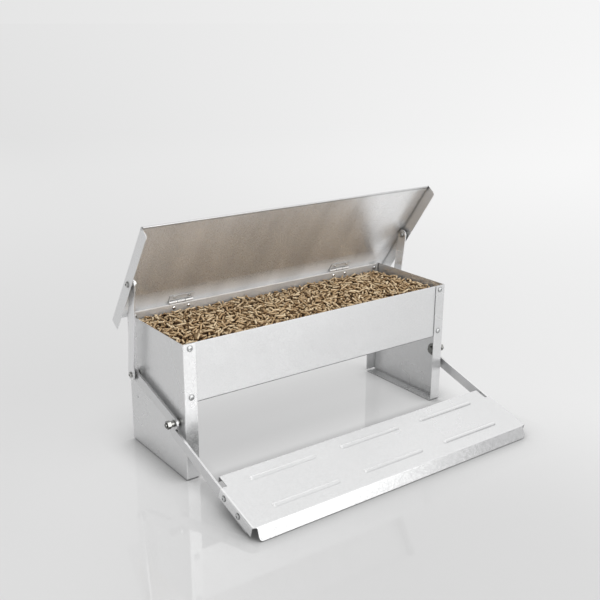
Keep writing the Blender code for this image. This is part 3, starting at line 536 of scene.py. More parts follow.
# %% Painted reflection and shade on the lid
lid_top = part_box("lid")[1][2]
pin_low, pin_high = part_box("hinge_pin_left")
pin_height = (pin_low[2] + pin_high[2]) / 2
HEM_HEIGHTS = (lid_top - 0.0058, lid_top - 0.0033)
LID_FOOT_HEIGHTS = (pin_height + 0.0062, pin_height + 0.0312)
STREAK_STRETCH = (1.0, 0.15, 0.15)  # the pattern changes slowly up the sheet
STREAK_SCALE = 22.0
STREAK_RANGE = (0.35, 0.65)
STREAK_REFLECTION_GAINS = (-0.05, 0.10)
LID_FLANGE_SHADE_GAIN = -0.11
HEM_SHADE_SHARE = 0.35
LID_METALS = (0.78, 0.05)  # all over, and on the strip beside the hinges


def lid_painted_light(recipe, where, shade):
    """The shade of the lid, with painted reflection in streaks and painted shade on the side flanges and hem.
    """
    # painted reflection in streaks on the inner face, painted shade on the flanges and hem
    stretched = recipe.vector("MULTIPLY", where, STREAK_STRETCH)
    streaks = recipe.noise(stretched, STREAK_SCALE, detail=2.0)
    streaks = recipe.spread(streaks, *STREAK_RANGE, *STREAK_REFLECTION_GAINS)
    shade = recipe.plus(shade, recipe.times(streaks, recipe.turned_to(LID_INSIDE)))
    flanges = recipe.plus(recipe.turned_to(LEFT), recipe.turned_to(RIGHT))
    shade = recipe.plus(shade, recipe.times(flanges, LID_FLANGE_SHADE_GAIN))
    return recipe.dim(shade, recipe.ramp(recipe.along(where, UP), *HEM_HEIGHTS), HEM_SHADE_SHARE)


def lid_metal(recipe, where):
    """How much the lid mirrors."""
    foot = recipe.outside(recipe.ramp(recipe.along(where, UP), *LID_FOOT_HEIGHTS))
    foot_inside = recipe.times(foot, recipe.turned_to(LID_INSIDE))
    return recipe.spread(foot_inside, 0.0, 1.0, *LID_METALS)


fine_crystals = {"tilt": 0.05, "flake": 2600.0, "contrast": 0.01, "haze": 0.14}
lid_zinc = zinc("lid_zinc_looks", shade=0.90, roughness=0.34, metal=lid_metal, wear_and_painted_light=lid_painted_light, **fine_crystals)
print("lid's hem from", round(HEM_HEIGHTS[0] * 1000, 1), "mm up, hinge pins at", round(pin_height * 1000, 1))

# %% [markdown]
# The treadle plate is folded down all round and has six pressed ribs. They are shallow, and the
# light runs over them softly. The flanks of the model's ribs are a little steep for that. Its
# shape stays as it is, so we only pull the direction of the flanks towards the plate's own.

# %% Field of the ribs
RIB_RUN = (0.072, 0.076, 0.150, 0.154)  # down the slope, from the origin
RIB_SPAN = (0.240, 0.243)  # to each side
RIB_PULL = 1.8


def rib_field(recipe, where):
    """1 on the middle of the plate, which has the ribs, and 0 on its folded edges."""
    downhill = recipe.band(recipe.along(where, PLATE_DOWNHILL), *RIB_RUN)
    sideways = recipe.unsigned(recipe.along(where, RIGHT))
    return recipe.times(downhill, recipe.outside(recipe.ramp(sideways, *RIB_SPAN)))


def soften_ribs(recipe, where, normal):
    """Pull the direction of the flanks towards the plate's own."""
    pull = recipe.times(rib_field(recipe, where), RIB_PULL)
    return recipe.vector("ADD", normal, recipe.vector("MULTIPLY", recipe.to_world(PLATE_UP), pull))


print("ribs lie within", RIB_SPAN[0] * 1000, "mm of the middle")

# %% [markdown]
# On each rib the far flank and the left end get a painted highlight, and the near flank painted shade.

# %% Painted light and shade on the ribs
FAR_FACING = (0.05, 0.30)  # how far the flank faces uphill
FAR_GAIN = 0.34
NEAR_FACING = (0.05, 0.35)  # how far it faces downhill
NEAR_GAIN = -0.05
LEFT_END_FACING = (0.10, 0.35)
LEFT_END_GAIN = 0.34


def rib_painted_light(recipe, ribs):
    """How much lighter or darker than the plate each side of a rib is painted."""
    # painted highlight on the far flank and left end, painted shade on the near flank
    downhill = recipe.faces(PLATE_DOWNHILL)
    far = recipe.times(recipe.ramp(recipe.times(downhill, -1.0), *FAR_FACING), FAR_GAIN)
    near = recipe.times(recipe.ramp(downhill, *NEAR_FACING), NEAR_GAIN)
    left_end = recipe.times(recipe.ramp(recipe.faces(LEFT), *LEFT_END_FACING), LEFT_END_GAIN)
    return recipe.times(recipe.plus(far, near, left_end), ribs)


print("a rib's far flank gains", FAR_GAIN, "and its near flank", NEAR_GAIN)

# %% [markdown]
# The plate's front edge is folded down to a lip. It gets painted shade, more towards the right, where the
# painted shade is also mottled.

# %% Painted shade on the lip
LIP_SPAN = (-0.10, 0.18)
LIP_SHARES = (0.05, 0.30)
MOTTLE_SPAN = (0.02, 0.14)
MOTTLE_SCALE = 170.0
MOTTLE_SHARES = (-0.05, 0.05)


def lip_painted_shade(recipe, where, sideways):
    """The share of painted shade on the lip at each place."""
    # painted shade, mottled towards the right
    mottle = recipe.noise(where, MOTTLE_SCALE, roughness=SPOTTY)
    mottle = recipe.spread(mottle, *BLOTCH_RANGE, *MOTTLE_SHARES)
    mottle = recipe.times(mottle, recipe.ramp(sideways, *MOTTLE_SPAN))
    return recipe.plus(recipe.spread(sideways, *LIP_SPAN, *LIP_SHARES), mottle)


print("the lip loses up to", round((LIP_SHARES[1] + MOTTLE_SHARES[1]) * 100), "percent of its shade")

# %% [markdown]
# The rear fold of the plate gets a painted highlight and its front fold painted shade. A narrow border gets a
# painted highlight along the rear and the left edge, and the plate is painted a little darker from its left
# end to its right.

# %% Painted light and shade on the plate
FOLD_FACING = (0.35, 0.70, 0.94, 0.995)  # how far a bend faces up
FOLD_RUN = (0.10, 0.15)
FOLD_GAINS = (0.25, -0.12)  # of the rear fold and of the front fold
FLAT_FACING = (0.90, 0.98)
BORDER_RUN = (0.0645, 0.0670)
BORDER_LEFT = (-0.2555, -0.2530)
BORDER_HIGHLIGHT_GAIN = 0.13
LIP_FACING = (0.75, 0.90)  # the lip faces up less than this
PLATE_END_SHADES = (1.10, 0.99)  # at the left and right end


def plate_painted_light(recipe, where, shade):
    """The shade of the plate, with painted light and shade on its folds, ribs, border and lip."""
    up = recipe.faces(PLATE_UP)
    run = recipe.along(where, PLATE_DOWNHILL)
    sideways = recipe.along(where, RIGHT)
    ribs = rib_field(recipe, where)

    # painted highlight on the rear fold, painted shade on the front fold
    folds = recipe.times(recipe.band(up, *FOLD_FACING), recipe.outside(ribs))
    shade = recipe.plus(shade, recipe.times(folds, recipe.spread(run, *FOLD_RUN, *FOLD_GAINS)))
    shade = recipe.plus(shade, rib_painted_light(recipe, ribs))

    inner = recipe.times(recipe.ramp(run, *BORDER_RUN), recipe.ramp(sideways, *BORDER_LEFT))
    border = recipe.times(recipe.outside(inner), recipe.ramp(up, *FLAT_FACING))
    shade = recipe.plus(shade, recipe.times(border, BORDER_HIGHLIGHT_GAIN))

    lip = recipe.outside(recipe.ramp(up, *LIP_FACING))
    shade = recipe.dim(shade, lip, lip_painted_shade(recipe, where, sideways))
    return recipe.times(shade, recipe.spread(sideways, *SPAN, *PLATE_END_SHADES))


plate_zinc = zinc(
    "plate_zinc_looks", shade=0.80, roughness=0.26, metal=0.78, tilt=0.06, wear_and_painted_light=plate_painted_light, soften=soften_ribs
)
print("the plate slopes by", round(degrees(PLATE_SLOPE), 1), "degrees")

# %% [markdown]
# The two arms carry the plate. Their upper edge gets a painted highlight in front of the pivot, and painted
# shade behind it, beside the panel. The links and the hinge leaves are plain strips.

# %% Painted light on the arms, and the plain strips
PIVOT_DEPTHS = (-0.01, 0.015)  # where the edge changes
EDGE_LIGHT_GAINS = (0.22, -0.12)  # in front of the pivot and behind it
EDGE_FACING = (0.5, 0.8)


def arm_painted_light(recipe, where, shade):
    """The shade of the arms, with a painted highlight and painted shade on their upper edge."""
    # painted highlight in front of the pivot, painted shade behind it
    edge = recipe.ramp(recipe.faces(UP), *EDGE_FACING)
    gain = recipe.ramp(recipe.along(where, BACK), *PIVOT_DEPTHS, *EDGE_LIGHT_GAINS)
    return recipe.plus(shade, recipe.times(edge, gain))


# the arms' darker shade and the links' and hinge leaves' lighter shades are partly painted shade and light
arm_zinc = zinc("arm_zinc_looks", shade=0.66, roughness=0.28, metal=0.80, wear_and_painted_light=arm_painted_light)
link_zinc = zinc("link_zinc_looks", shade=0.84, roughness=0.28, metal=0.75)
hinge_zinc = zinc("hinge_zinc_looks", shade=0.93, roughness=0.32, metal=0.35)
print("seven kinds of zinc sheet")


# %% [markdown]
# ## Bright parts
# Bolts, nuts, spacers, hinge pins and rivets are plated. They are plain metal with fine wear, and painted
# shade in their corners. They are only a few millimetres across, so the room's reflection in them is a few
# dots wide: painted shade on the rim keeps a domed head round, and painted shade on the underside keeps a nut
# solid. Their four colours differ partly as painted light and shade.

# %% Bright plating
WEAR_SCALE = 420.0
WORN_SHARE = 0.8
COLOUR_WEAR = (0.25, 0.6)  # from worn to fresh
ROUGHNESS_WEAR = (0.3, 0.7)
WORN_DULLER = 0.06  # added to the roughness where worn
FRESH_SMOOTHER = -0.04
WEAR_STRENGTH = 0.08
WEAR_HEIGHT = 0.0001
PLATING_CORNER_SHADES = ((0.35, (0.12, 0.115, 0.105)), (0.85, WHITE))
PLATING_CORNER_REACH = 0.0025
UNDER_RANGE = (0.45, 0.85)  # from looking down to looking up
RIM_RANGE = (0.80, 0.97)  # from slanting to square on


def darkened(recipe, value, span, shade):
    """A grey that grows to white over a span."""
    return recipe.tint(value, (span[0], [shade] * 3), (span[1], WHITE))


def bright(name, colour, roughness, rim_shade=1.0, under_shade=1.0):
    """Plated metal. Its two painted shades darken a head's rim and whatever looks down."""
    recipe = Recipe(bpy.data.materials.new(name))
    wear_and_painted_light = recipe.noise(recipe.place(), WEAR_SCALE, detail=4.0)
    dulled = [WORN_SHARE * channel for channel in colour]
    worn_and_painted_shade = recipe.tint(wear_and_painted_light, (COLOUR_WEAR[0], dulled), (COLOUR_WEAR[1], colour))
    # painted shade in corners and beside pieces that touch
    painted_corner_shade = recipe.tint(recipe.corners(PLATING_CORNER_REACH), *PLATING_CORNER_SHADES)
    upward = recipe.spread(recipe.faces(UP), -1.0, 1.0, 0.0, 1.0)
    worn_and_painted_shade = recipe.multiply(worn_and_painted_shade, painted_corner_shade, darkened(recipe, upward, UNDER_RANGE, under_shade))
    if rim_shade < 1.0:
        to_side = recipe.unsigned(recipe.faces(RIGHT))
        to_front_or_back = recipe.unsigned(recipe.faces(BACK))
        level = recipe.maths("MAXIMUM", to_side, to_front_or_back)
        square = recipe.maths("MAXIMUM", level, recipe.faces(UP))
        worn_and_painted_shade = recipe.multiply(worn_and_painted_shade, darkened(recipe, square, RIM_RANGE, rim_shade))
    rough = recipe.spread(wear_and_painted_light, *ROUGHNESS_WEAR, roughness + WORN_DULLER, roughness + FRESH_SMOOTHER)
    relief = recipe.bump(wear_and_painted_light, WEAR_STRENGTH, WEAR_HEIGHT)
    recipe.set(recipe.shader, Base_Color=worn_and_painted_shade, Metallic=1.0, Roughness=rough, Normal=relief)
    return recipe.owner


# the colours differ partly as painted light and shade
bolt_plating = bright("bolt_plating", (0.50, 0.50, 0.48), roughness=0.16, under_shade=0.30)
link_plating = bright("link_plating", (0.74, 0.74, 0.72), roughness=0.22, rim_shade=0.45)
hinge_plating = bright("hinge_plating", (0.86, 0.86, 0.85), roughness=0.26)
rivet_metal = bright("rivet_metal", (0.66, 0.67, 0.67), roughness=0.30, rim_shade=0.40)
print("four kinds of plating")

# %% [markdown]
# Every piece of the model has a plain name, such as lid_link_left. The table below gives a finish
# for the start of a name. Where two starts fit, as lid and lid_link do here, the longer one counts.

# %% Give each piece its finish
looks = {
    "end_panel": panel_zinc,
    "trough": trough_zinc,
    "treadle_plate": plate_zinc,
    "treadle_arm": arm_zinc,
    "lid_link": link_zinc,
    "lid": lid_zinc,
    "hinge": hinge_zinc,
    "hinge_pin": hinge_plating,
    "pivot": bolt_plating,
    "link": link_plating,
    "front_rivet": rivet_metal,
    "rear_rivet": rivet_metal,
    "plate_rivet": rivet_metal,
    "wall_leaf_rivet": hinge_plating,
    "lid_leaf_rivet": hinge_plating,
}
for name, node in nodes.items():
    fits = [start for start in looks if name.startswith(start)]
    node.data.materials.clear()
    node.data.materials.append(looks[max(fits, key=len)])
print("materials given to", len(nodes), "pieces")


# %% [markdown]
# ## Feed pellets
# Pressed feed comes in short rods, broken off at random lengths. Here they are 2.9 mm thick. One
# rod, copied, would look like a pattern, so we shape thirty: ten lengths, three shapes of each,
# with slightly dented sides, a slight bend and slanting ends.

# %% Shape one pellet
PELLET_RADIUS = 0.00145
PELLET_SIDES = 8
END_CHAMFER = 0.00035
END_SWELL = 0.80
DENT = 0.045
BEND = 0.035
SLANT = 0.3
SHORTEST = 0.0060
LENGTH_RANGE = 0.0085
LENGTHS = 10
VARIANTS = 3
SEED = 7
rng = np.random.default_rng(SEED)


def pellet_shape(length):
    """Points and faces of a rod along X, with its middle at the origin."""
    half = length / 2
    full = half - END_CHAMFER
    stations = ((-half, END_SWELL), (-full, 1.0), (0.0, 1.0), (full, 1.0), (half, END_SWELL))
    bend = BEND * length * rng.uniform(-1, 1)
    slants = rng.uniform(-SLANT, SLANT, 2)
    points, faces = [], []
    for along, swell in stations:
        for side in range(PELLET_SIDES):
            angle = 2 * pi * side / PELLET_SIDES
            reach = PELLET_RADIUS * swell * (1.0 + DENT * rng.standard_normal())
            y, z = reach * cos(angle), reach * sin(angle)
            slant = slants[int(along > 0)] * y * abs(along) / half
            points.append((along + slant, y + bend * (1 - (along / half) ** 2), z))
    for ring in range(len(stations) - 1):
        for side in range(PELLET_SIDES):
            a = ring * PELLET_SIDES + side
            b = ring * PELLET_SIDES + (side + 1) % PELLET_SIDES
            faces.append((a, b, b + PELLET_SIDES, a + PELLET_SIDES))
    last = (len(stations) - 1) * PELLET_SIDES
    faces.append(tuple(reversed(range(PELLET_SIDES))))
    faces.append(tuple(range(last, last + PELLET_SIDES)))
    return np.array(points), faces


lengths = [SHORTEST + LENGTH_RANGE * step / (LENGTHS - 1) for step in range(LENGTHS)]
shapes = [[pellet_shape(length) for variant in range(VARIANTS)] for length in lengths]
print(len(lengths), "lengths of pellet,", VARIANTS, "shapes of each")

# %% [markdown]
# To pour the feed, we could let a physics engine drop thousands of rods, which takes long. A map
# of heights is enough: it holds the top of the pile over each small cell of the trough. The feed
# rises to a wanted surface, about 11 mm below the rim at the left front, a little lower to the
# right and the rear, with low waves.

# %% Map of heights
CELL = 0.0006
END_CLEARANCE = 0.001
WALL_CLEARANCE = 0.0013
FEED_DEPTH = 0.027  # from the rim to the bed under the pellets
FEED_BELOW_RIM = 0.0110
FALL_TO_RIGHT = 0.0020
FALL_TO_REAR = 0.0035
WAVE = 0.0016
WAVES_ALONG = 9.0  # radians from the left end to the right
WAVES_ACROSS = 4.0  # radians from the front to the rear
WAVES_START = 0.6

feed_low = np.array((trough_low[0] + END_CLEARANCE, trough_low[1] + WALL_CLEARANCE))
feed_size = np.array((trough_high[0] - END_CLEARANCE, trough_high[1] - WALL_CLEARANCE)) - feed_low
heights = np.full((feed_size / CELL).astype(int), rim - FEED_DEPTH)
share_x, share_y = (np.linspace(0.0, 1.0, count) for count in heights.shape)
wanted = rim - FEED_BELOW_RIM - FALL_TO_RIGHT * share_x[:, None] - FALL_TO_REAR * share_y[None, :] ** 3
waves_along = np.sin(WAVES_ALONG * share_x + WAVES_START)
waves_across = np.cos(WAVES_ACROSS * share_y)
wanted = wanted - WAVE * waves_along[:, None] * waves_across[None, :]
print("height map", heights.shape, "cells of", CELL * 1000, "mm")

# %% [markdown]
# A rod that lies in the trough covers some cells. For each length and for 24 directions we note
# once which cells those are, and how thick the rod is over each. The cells are sorted in slices
# across the rod, because the slice that the rod touches first decides how it comes to rest.

# %% Footprints of the rods
TURNS = 24
SLICE = 0.0011


def footprint(length, yaw):
    """The cells under a rod in slices along it, and the rod's half thickness over each."""
    ux, uy = cos(yaw), sin(yaw)
    half = length / 2
    span = int(half / CELL) + 3
    i, j = np.meshgrid(np.arange(-span, span + 1), np.arange(-span, span + 1), indexing="ij")
    along = (i * ux + j * uy) * CELL
    across = (i * uy - j * ux) * CELL
    under = (np.abs(along) <= half) & (np.abs(across) < PELLET_RADIUS)
    i, j, along, across = i[under], j[under], along[under], across[under]
    slices = np.floor(along / SLICE).astype(int)
    order = np.argsort(slices, kind="stable")
    starts = np.flatnonzero(np.diff(slices[order], prepend=slices[order][0] - 1))
    lift = np.sqrt(PELLET_RADIUS**2 - across**2)
    middles = (slices[order][starts] + 0.5) * SLICE
    return i[order], j[order], along[order], lift[order], starts, middles


footprints = [[footprint(length, pi * turn / TURNS) for turn in range(TURNS)] for length in lengths]
print(len(lengths) * TURNS, "footprints")

# %% [markdown]
# A dropped rod comes to rest on two points, one on each side of its middle. Of all pairs of slices
# it is the pair that holds the middle highest. We try six places for each rod and keep the one
# that lies lowest against the wanted surface, so the pile stays level.

# %% Drop one pellet
STEEPEST = 0.75
TRIES = 6


def rest_pose(i, j, shape):
    """Height of the middle and slope of a rod that comes down with its middle over cell i, j."""
    di, dj, along, lift, starts, middles = shape
    need = np.maximum.reduceat(heights[i + di, j + dj] + lift, starts)
    left, right = middles < 0, middles > 0
    a, b = middles[left][:, None], middles[right][None, :]
    over_middle = (need[left][:, None] * b - need[right][None, :] * a) / (b - a)
    best = np.unravel_index(np.argmax(over_middle), over_middle.shape)
    slope = (need[right][best[1]] - need[left][best[0]]) / (b[0, best[1]] - a[best[0], 0])
    slope = float(np.clip(slope, -STEEPEST, STEEPEST))
    return float(np.max(need - slope * middles)), slope


def drop_pellet():
    """Let one rod fall, raise the map under it, and return where it lies."""
    best = None
    kind, turn = int(rng.integers(LENGTHS)), int(rng.integers(TURNS))
    shape = footprints[kind][turn]
    di, dj = shape[0], shape[1]
    for attempt in range(TRIES):
        i = int(rng.integers(-di.min(), heights.shape[0] - di.max()))
        j = int(rng.integers(-dj.min(), heights.shape[1] - dj.max()))
        middle, slope = rest_pose(i, j, shape)
        below = middle - wanted[i, j]
        if best is None or below < best[0]:
            best = (below, middle, slope, i, j)
    below, middle, slope, i, j = best
    rows, columns = i + di, j + dj
    heights[rows, columns] = np.maximum(heights[rows, columns], middle + slope * shape[2] + shape[3])
    return kind, turn, middle, slope, feed_low[0] + (i + 0.5) * CELL, feed_low[1] + (j + 0.5) * CELL


poured = []
while (heights - wanted).mean() < 0.0:
    poured.append(drop_pellet())
print(len(poured), "pellets, highest", round(float(heights.max()), 4), "rim", round(rim, 4))

# %% [markdown]
# Deep between the rods the feed gets painted shade. For that, each point of a rod will note how far it lies
# under the top of the pile around it. The canopy is that top: the highest cell within about 2.5 mm.

# %% Top of the pile round each place
CANOPY_REACH = 0.0026
canopy = heights.copy()
reach = int(CANOPY_REACH / CELL)
for axis in (0, 1):
    canopy = np.max([np.roll(canopy, step, axis) for step in range(-reach, reach + 1)], axis=0)
print("the pile varies by", round(float(canopy.max() - heights.min()) * 1000, 1), "mm")

# %% [markdown]
# Thousands of separate objects would be slow, and one mesh would be too large to hand over. So the
# rods are joined in a few meshes. Each point carries two values for the material: the rod's own
# tone, and how deep it is sunk in the pile.

# %% One mesh for each part of the pile
PELLETS_IN_MESH = 1800
DARK_DEPTH = 0.0070


def sunk_share(places):
    """How deep each point lies under the canopy, from 0 to 1."""
    i, j = ((places[:, :2] - feed_low) / CELL).astype(int).T
    i, j = np.clip(i, 0, heights.shape[0] - 1), np.clip(j, 0, heights.shape[1] - 1)
    return np.clip((canopy[i, j] - places[:, 2]) / DARK_DEPTH, 0.0, 1.0)


def pellet_mesh(batch):
    """Join a batch of rods in one mesh, each turned to lie as it came to rest."""
    points, faces, tones, sunk, count = [], [], [], [], 0
    for kind, turn, middle, slope, x, y in batch:
        shape, shape_faces = shapes[kind][int(rng.integers(VARIANTS))]
        spin = (
            Matrix.Rotation(pi * turn / TURNS, 3, "Z")
            @ Matrix.Rotation(-np.arctan(slope), 3, "Y")
            @ Matrix.Rotation(rng.uniform(0, 2 * pi), 3, "X")
        )
        placed = shape @ np.array(spin).T + (x, y, middle)
        points.append(placed)
        sunk.extend(sunk_share(placed))
        faces.extend([tuple(corner + count for corner in face) for face in shape_faces])
        tones.extend([rng.uniform()] * len(shape))
        count += len(shape)
    mesh = bpy.data.meshes.new("feed_pellets")
    mesh.from_pydata(np.concatenate(points).tolist(), [], faces)
    for name, values in (("tone", tones), ("sunk", sunk)):
        mesh.attributes.new(name, "FLOAT", "POINT").data.foreach_set("value", np.array(values, np.float32))
    mesh.polygons.foreach_set("use_smooth", [len(face) == 4 for face in faces])
    return mesh


pellet_pieces = []
for start in range(0, len(poured), PELLETS_IN_MESH):
    mesh = pellet_mesh(poured[start : start + PELLETS_IN_MESH])
    piece = bpy.data.objects.new(f"feed_pellets_{len(pellet_pieces) + 1}", mesh)
    bpy.context.scene.collection.objects.link(piece)
    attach(piece, "frame")
    pellet_pieces.append(piece)
print(len(pellet_pieces), "meshes of pellets")

# %% [markdown]
# The pile is only a few layers deep. A bed of crushed feed, slightly uneven, closes it from below,
# so no bare sheet shows between the rods.

# %% Bed under the pellets
BED_STEPS_X = 90
BED_STEPS_Y = 30
BED_RELIEF = 0.0008
BED_WAVES = (1.7, 2.3)  # radians from one point of the bed to the next

bed = bmesh.new()
grid = []
for i in range(BED_STEPS_X + 1):
    for j in range(BED_STEPS_Y + 1):
        x = feed_low[0] + feed_size[0] * i / BED_STEPS_X
        y = feed_low[1] + feed_size[1] * j / BED_STEPS_Y
        z = rim - FEED_DEPTH + BED_RELIEF * sin(i * BED_WAVES[0]) * cos(j * BED_WAVES[1])
        grid.append(bed.verts.new((x, y, z)))
row = BED_STEPS_Y + 1
for i in range(BED_STEPS_X):
    for j in range(BED_STEPS_Y):
        corner = i * row + j
        bed.faces.new([grid[corner + step] for step in (0, row, row + 1, 1)])
bed_mesh = bpy.data.meshes.new("feed_bed")
bed.to_mesh(bed_mesh)
bed.free()
bed_mesh.shade_smooth()
feed_bed = bpy.data.objects.new("feed_bed", bed_mesh)
bpy.context.scene.collection.objects.link(feed_bed)
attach(feed_bed, "frame")
print("bed of", len(bed_mesh.polygons), "faces")

# %% [markdown]
# Each rod has its own tone between dark bran and pale straw, with specks of ground grain. The depth in the
# pile gives it painted shade, and so do the gaps where rods touch. The surface is rough and crumbly.

# %% Colour of the feed
FEED_TONES = ((0.20, (0.36, 0.23, 0.11)), (0.50, (0.61, 0.435, 0.245)), (0.80, (0.90, 0.735, 0.495)))
SUNK_SHADES = ((0.12, WHITE), (0.45, (0.52, 0.44, 0.35)), (0.9, (0.16, 0.11, 0.075)))
GAP_SHADES = ((0.30, (0.14, 0.10, 0.07)), (0.92, WHITE))
GAP_REACH = 0.0022
SPECK_SCALE = 1400.0
TONE_SHARE = 0.55
SPECK_SHARE = 0.6
FEED_ROUGHNESS = 0.62
CRUMB_STRENGTH = 0.5
CRUMB_HEIGHT = 0.0004

feed = Recipe(bpy.data.materials.new("feed"))
tone = feed.add("ShaderNodeAttribute", attribute_name="tone").outputs["Fac"]
sunk = feed.add("ShaderNodeAttribute", attribute_name="sunk").outputs["Fac"]
speck = feed.noise(feed.place(), SPECK_SCALE, detail=4.0, roughness=SPOTTY)
mixture = feed.plus(feed.times(tone, TONE_SHARE), feed.times(speck, SPECK_SHARE))
feed_colour = feed.tint(mixture, *FEED_TONES)
# painted shade: deeper in the pile and in the gaps between rods
gaps = feed.tint(feed.corners(GAP_REACH), *GAP_SHADES)
feed_colour = feed.multiply(feed_colour, feed.tint(sunk, *SUNK_SHADES), gaps)
crumbs = feed.bump(speck, CRUMB_STRENGTH, CRUMB_HEIGHT)
feed.set(feed.shader, Base_Color=feed_colour, Roughness=FEED_ROUGHNESS, Normal=crumbs)
for piece in (*pellet_pieces, feed_bed):
    piece.data.materials.append(feed.owner)
print("feed coloured on", len(pellet_pieces) + 1, "meshes")

# %% [markdown]
# ## The room
# Metal shows its surroundings, so the room matters as much as the zinc. It is pale all round and
# grows lighter from the left rear to the right front. A room that is really this bright would
# bleach the sheets. So what the camera and the metal see is set apart from the light that falls
# on things.

# %% Shades of the room
ACROSS = (0.8065, -0.5913, 0.0)  # points from the darker side of the room to the lighter one


def across_room(recipe, vector, dark, light, reach):
    """A shade that grows from one side to the other, over reach to each side of the middle."""
    return recipe.spread(recipe.along(vector, ACROSS), -reach, reach, dark, light)


def seen_directly(recipe):
    """1 for what the camera, metal and glass see, 0 for the light that falls on things."""
    path = recipe.add("ShaderNodeLightPath")
    seen = recipe.maths("MAXIMUM", path.outputs["Is Camera Ray"], path.outputs["Is Glossy Ray"])
    return recipe.maths("MAXIMUM", seen, path.outputs["Is Transmission Ray"])


print("the room lightens towards", ACROSS[:2])

# %% [markdown]
# The floor is smooth and pale, so the feeder mirrors in it. Its paint glows, which keeps it pale without more
# light on the feeder. The glow grows towards the lighter side of the room, and it is weaker under the plate
# and the trough and in front of them: a painted soft shadow of the feeder.

# %% Glow of the floor
SHADOW_MIDDLE = (-0.08, -0.40, 0.0)
SHADOW_REACH = (0.10, 0.60)
SHADOW_SHADES = (0.75, 1.0)
FLOOR_GLOWS = (0.40, 0.455)  # on the darker and on the lighter side
GLOW_REACH = 0.5
UNDER_PLATE = {"depths": (-0.20, -0.16, -0.012, 0.010), "span": (0.235, 0.265), "shade": 0.60}
UNDER_TROUGH = {"depths": (-0.02, 0.02, 0.12, 0.24), "span": (0.20, 0.26), "shade": 0.90}


def floor_glow(paint, where):
    """How strongly the floor glows at each place, with the feeder's painted shadow."""
    depth = paint.along(where, BACK)
    sideways = paint.unsigned(paint.along(where, RIGHT))
    glow = across_room(paint, where, *FLOOR_GLOWS, GLOW_REACH)
    away = paint.vector("DISTANCE", where, SHADOW_MIDDLE, "Value")
    glow = paint.times(glow, paint.ramp(away, *SHADOW_REACH, *SHADOW_SHADES))
    # painted shadow under the plate and the trough
    for piece in (UNDER_PLATE, UNDER_TROUGH):
        beside = paint.outside(paint.ramp(sideways, *piece["span"]))
        under = paint.times(paint.band(depth, *piece["depths"]), beside)
        glow = paint.times(glow, paint.spread(under, 0.0, 1.0, 1.0, piece["shade"]))
    return glow


print("under the plate the floor glows at", UNDER_PLATE["shade"], "of its strength")

# %% [markdown]
# The floor itself is one large square. It lies a hair below the feeder's feet, so that the two
# surfaces don't fight for the same place.

# %% Floor
FLOOR_HALF = 60.0
FLOOR_DROP = 0.0006

corners = [(x * FLOOR_HALF, y * FLOOR_HALF, 0.0) for x, y in ((-1, -1), (1, -1), (1, 1), (-1, 1))]
floor_mesh = bpy.data.meshes.new("floor")
floor_mesh.from_pydata(corners, [], [(0, 1, 2, 3)])
floor = bpy.data.objects.new("floor", floor_mesh)
floor.location.z = -FLOOR_DROP
bpy.context.scene.collection.objects.link(floor)
print("floor", 2 * FLOOR_HALF, "m wide")

# %% [markdown]
# The paint is grey where light falls on it, and both its grey and its glow get painted shadow close to what
# stands on it. Far away it turns into the colour of the backdrop, so no horizon shows.

# %% Floor paint
FLOOR_GREY = 0.36
FLOOR_ROUGHNESS = 0.035
CONTACT_REACH = 0.055
CONTACT_RANGE = (0.35, 0.95)
CONTACT_SHADES = (0.25, 1.0)
FAR_SHADES = (0.755, 0.93)
FAR_REACH = 0.4
FADE = (0.6, 4.0)  # distances over which the floor turns into the backdrop

paint = Recipe(bpy.data.materials.new("floor_paint"))
where = paint.place()
# painted contact shadow, in the grey and in the glow
open_air = paint.spread(paint.corners(CONTACT_REACH), *CONTACT_RANGE, *CONTACT_SHADES)
grey = paint.times(open_air, FLOOR_GREY)
paint.set(paint.shader, Base_Color=paint.mixed(grey, grey, grey), Roughness=FLOOR_ROUGHNESS)
strength = paint.times(open_air, floor_glow(paint, where))
glow = paint.set(paint.add("ShaderNodeEmission"), Strength=strength)
near = paint.add("ShaderNodeAddShader")
paint.join(paint.shader.outputs["BSDF"], near.inputs[0])
paint.join(glow.outputs["Emission"], near.inputs[1])

far_shade = across_room(paint, paint.vector("NORMALIZE", where), *FAR_SHADES, FAR_REACH)
haze = paint.set(paint.add("ShaderNodeEmission"), Strength=far_shade)
distance = paint.vector("LENGTH", where, result="Value")
blend = paint.set(paint.add("ShaderNodeMixShader"), Fac=paint.ramp(distance, *FADE))
paint.join(near.outputs["Shader"], blend.inputs[1])
paint.join(haze.outputs["Emission"], blend.inputs[2])
paint.join(blend.outputs["Shader"], paint.tree.nodes["Material Output"].inputs["Surface"])
floor_mesh.materials.append(paint.owner)
print("the floor turns into the backdrop from", FADE[0], "to", FADE[1], "m")

# %% [markdown]
# The backdrop is the world itself. Near the horizon it has the floor's far colour, and higher up
# it differs more from side to side, which the sloping sheets mirror. The light that falls on
# things comes from an even, dimmer world.

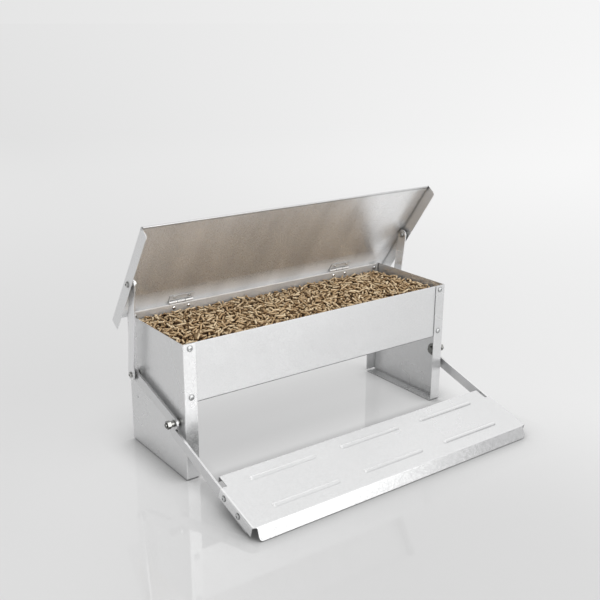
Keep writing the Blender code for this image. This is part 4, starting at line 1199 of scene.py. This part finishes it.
# %% Backdrop
LIGHT_LEVEL = 0.36
LOWER_SHADES = (0.77, 0.93)
LOWER_REACH = 0.4
UPPER_SHADES = (0.50, 1.04)
UPPER_REACH = 0.5
CLIMB = (0.22, 0.60)  # how steeply one looks up where the upper shades take over

world = bpy.data.worlds.new("room")
bpy.context.scene.world = world
sky = Recipe(world)
direction = sky.add("ShaderNodeTexCoord").outputs["Generated"]
upper = across_room(sky, direction, *UPPER_SHADES, UPPER_REACH)
lower = across_room(sky, direction, *LOWER_SHADES, LOWER_REACH)
climb = sky.spread(sky.channel(direction, 2), *CLIMB, 0.0, 1.0)
pale = sky.plus(lower, sky.times(sky.maths("SUBTRACT", upper, lower), climb))
extra = sky.times(sky.maths("SUBTRACT", pale, LIGHT_LEVEL), seen_directly(sky))
sky.set(sky.tree.nodes["Background"], Color=(*WHITE, 1.0), Strength=sky.plus(extra, LIGHT_LEVEL))
print("the world lights things at", LIGHT_LEVEL)


# %% [markdown]
# Two lamps shape the feeder. The front lip and the flanges mirror a wide softbox in front. A
# smaller lamp overhead lights the plate and the feed, and the metal doesn't mirror it. The camera
# doesn't see the softbox itself, which would show as a white patch when one looks from behind.

# %% Lamps
def lamp(name, place, target, width, height, watts):
    """A rectangle of light that looks at its target."""
    light = bpy.data.lights.new(name, "AREA")
    light.shape = "RECTANGLE"
    light.size, light.size_y = width, height
    light.energy = watts
    holder = bpy.data.objects.new(name, light)
    holder.location = place
    holder.rotation_euler = (Vector(target) - Vector(place)).to_track_quat("-Z", "Y").to_euler()
    bpy.context.scene.collection.objects.link(holder)
    return holder


softbox = lamp(
    "front_softbox",
    place=(0.15, -2.2, 1.25),
    target=(0.0, 0.0, 0.5),
    width=3.2,
    height=2.1,
    watts=35.5,
)
softbox.visible_camera = False
overhead = lamp(
    "overhead",
    place=(-0.3, -0.5, 2.2),
    target=(0.0, 0.0, 0.0),
    width=1.0,
    height=1.0,
    watts=15.0,
)
overhead.visible_glossy = False
print("two lamps,", softbox.data.energy, "and", overhead.data.energy, "watts")
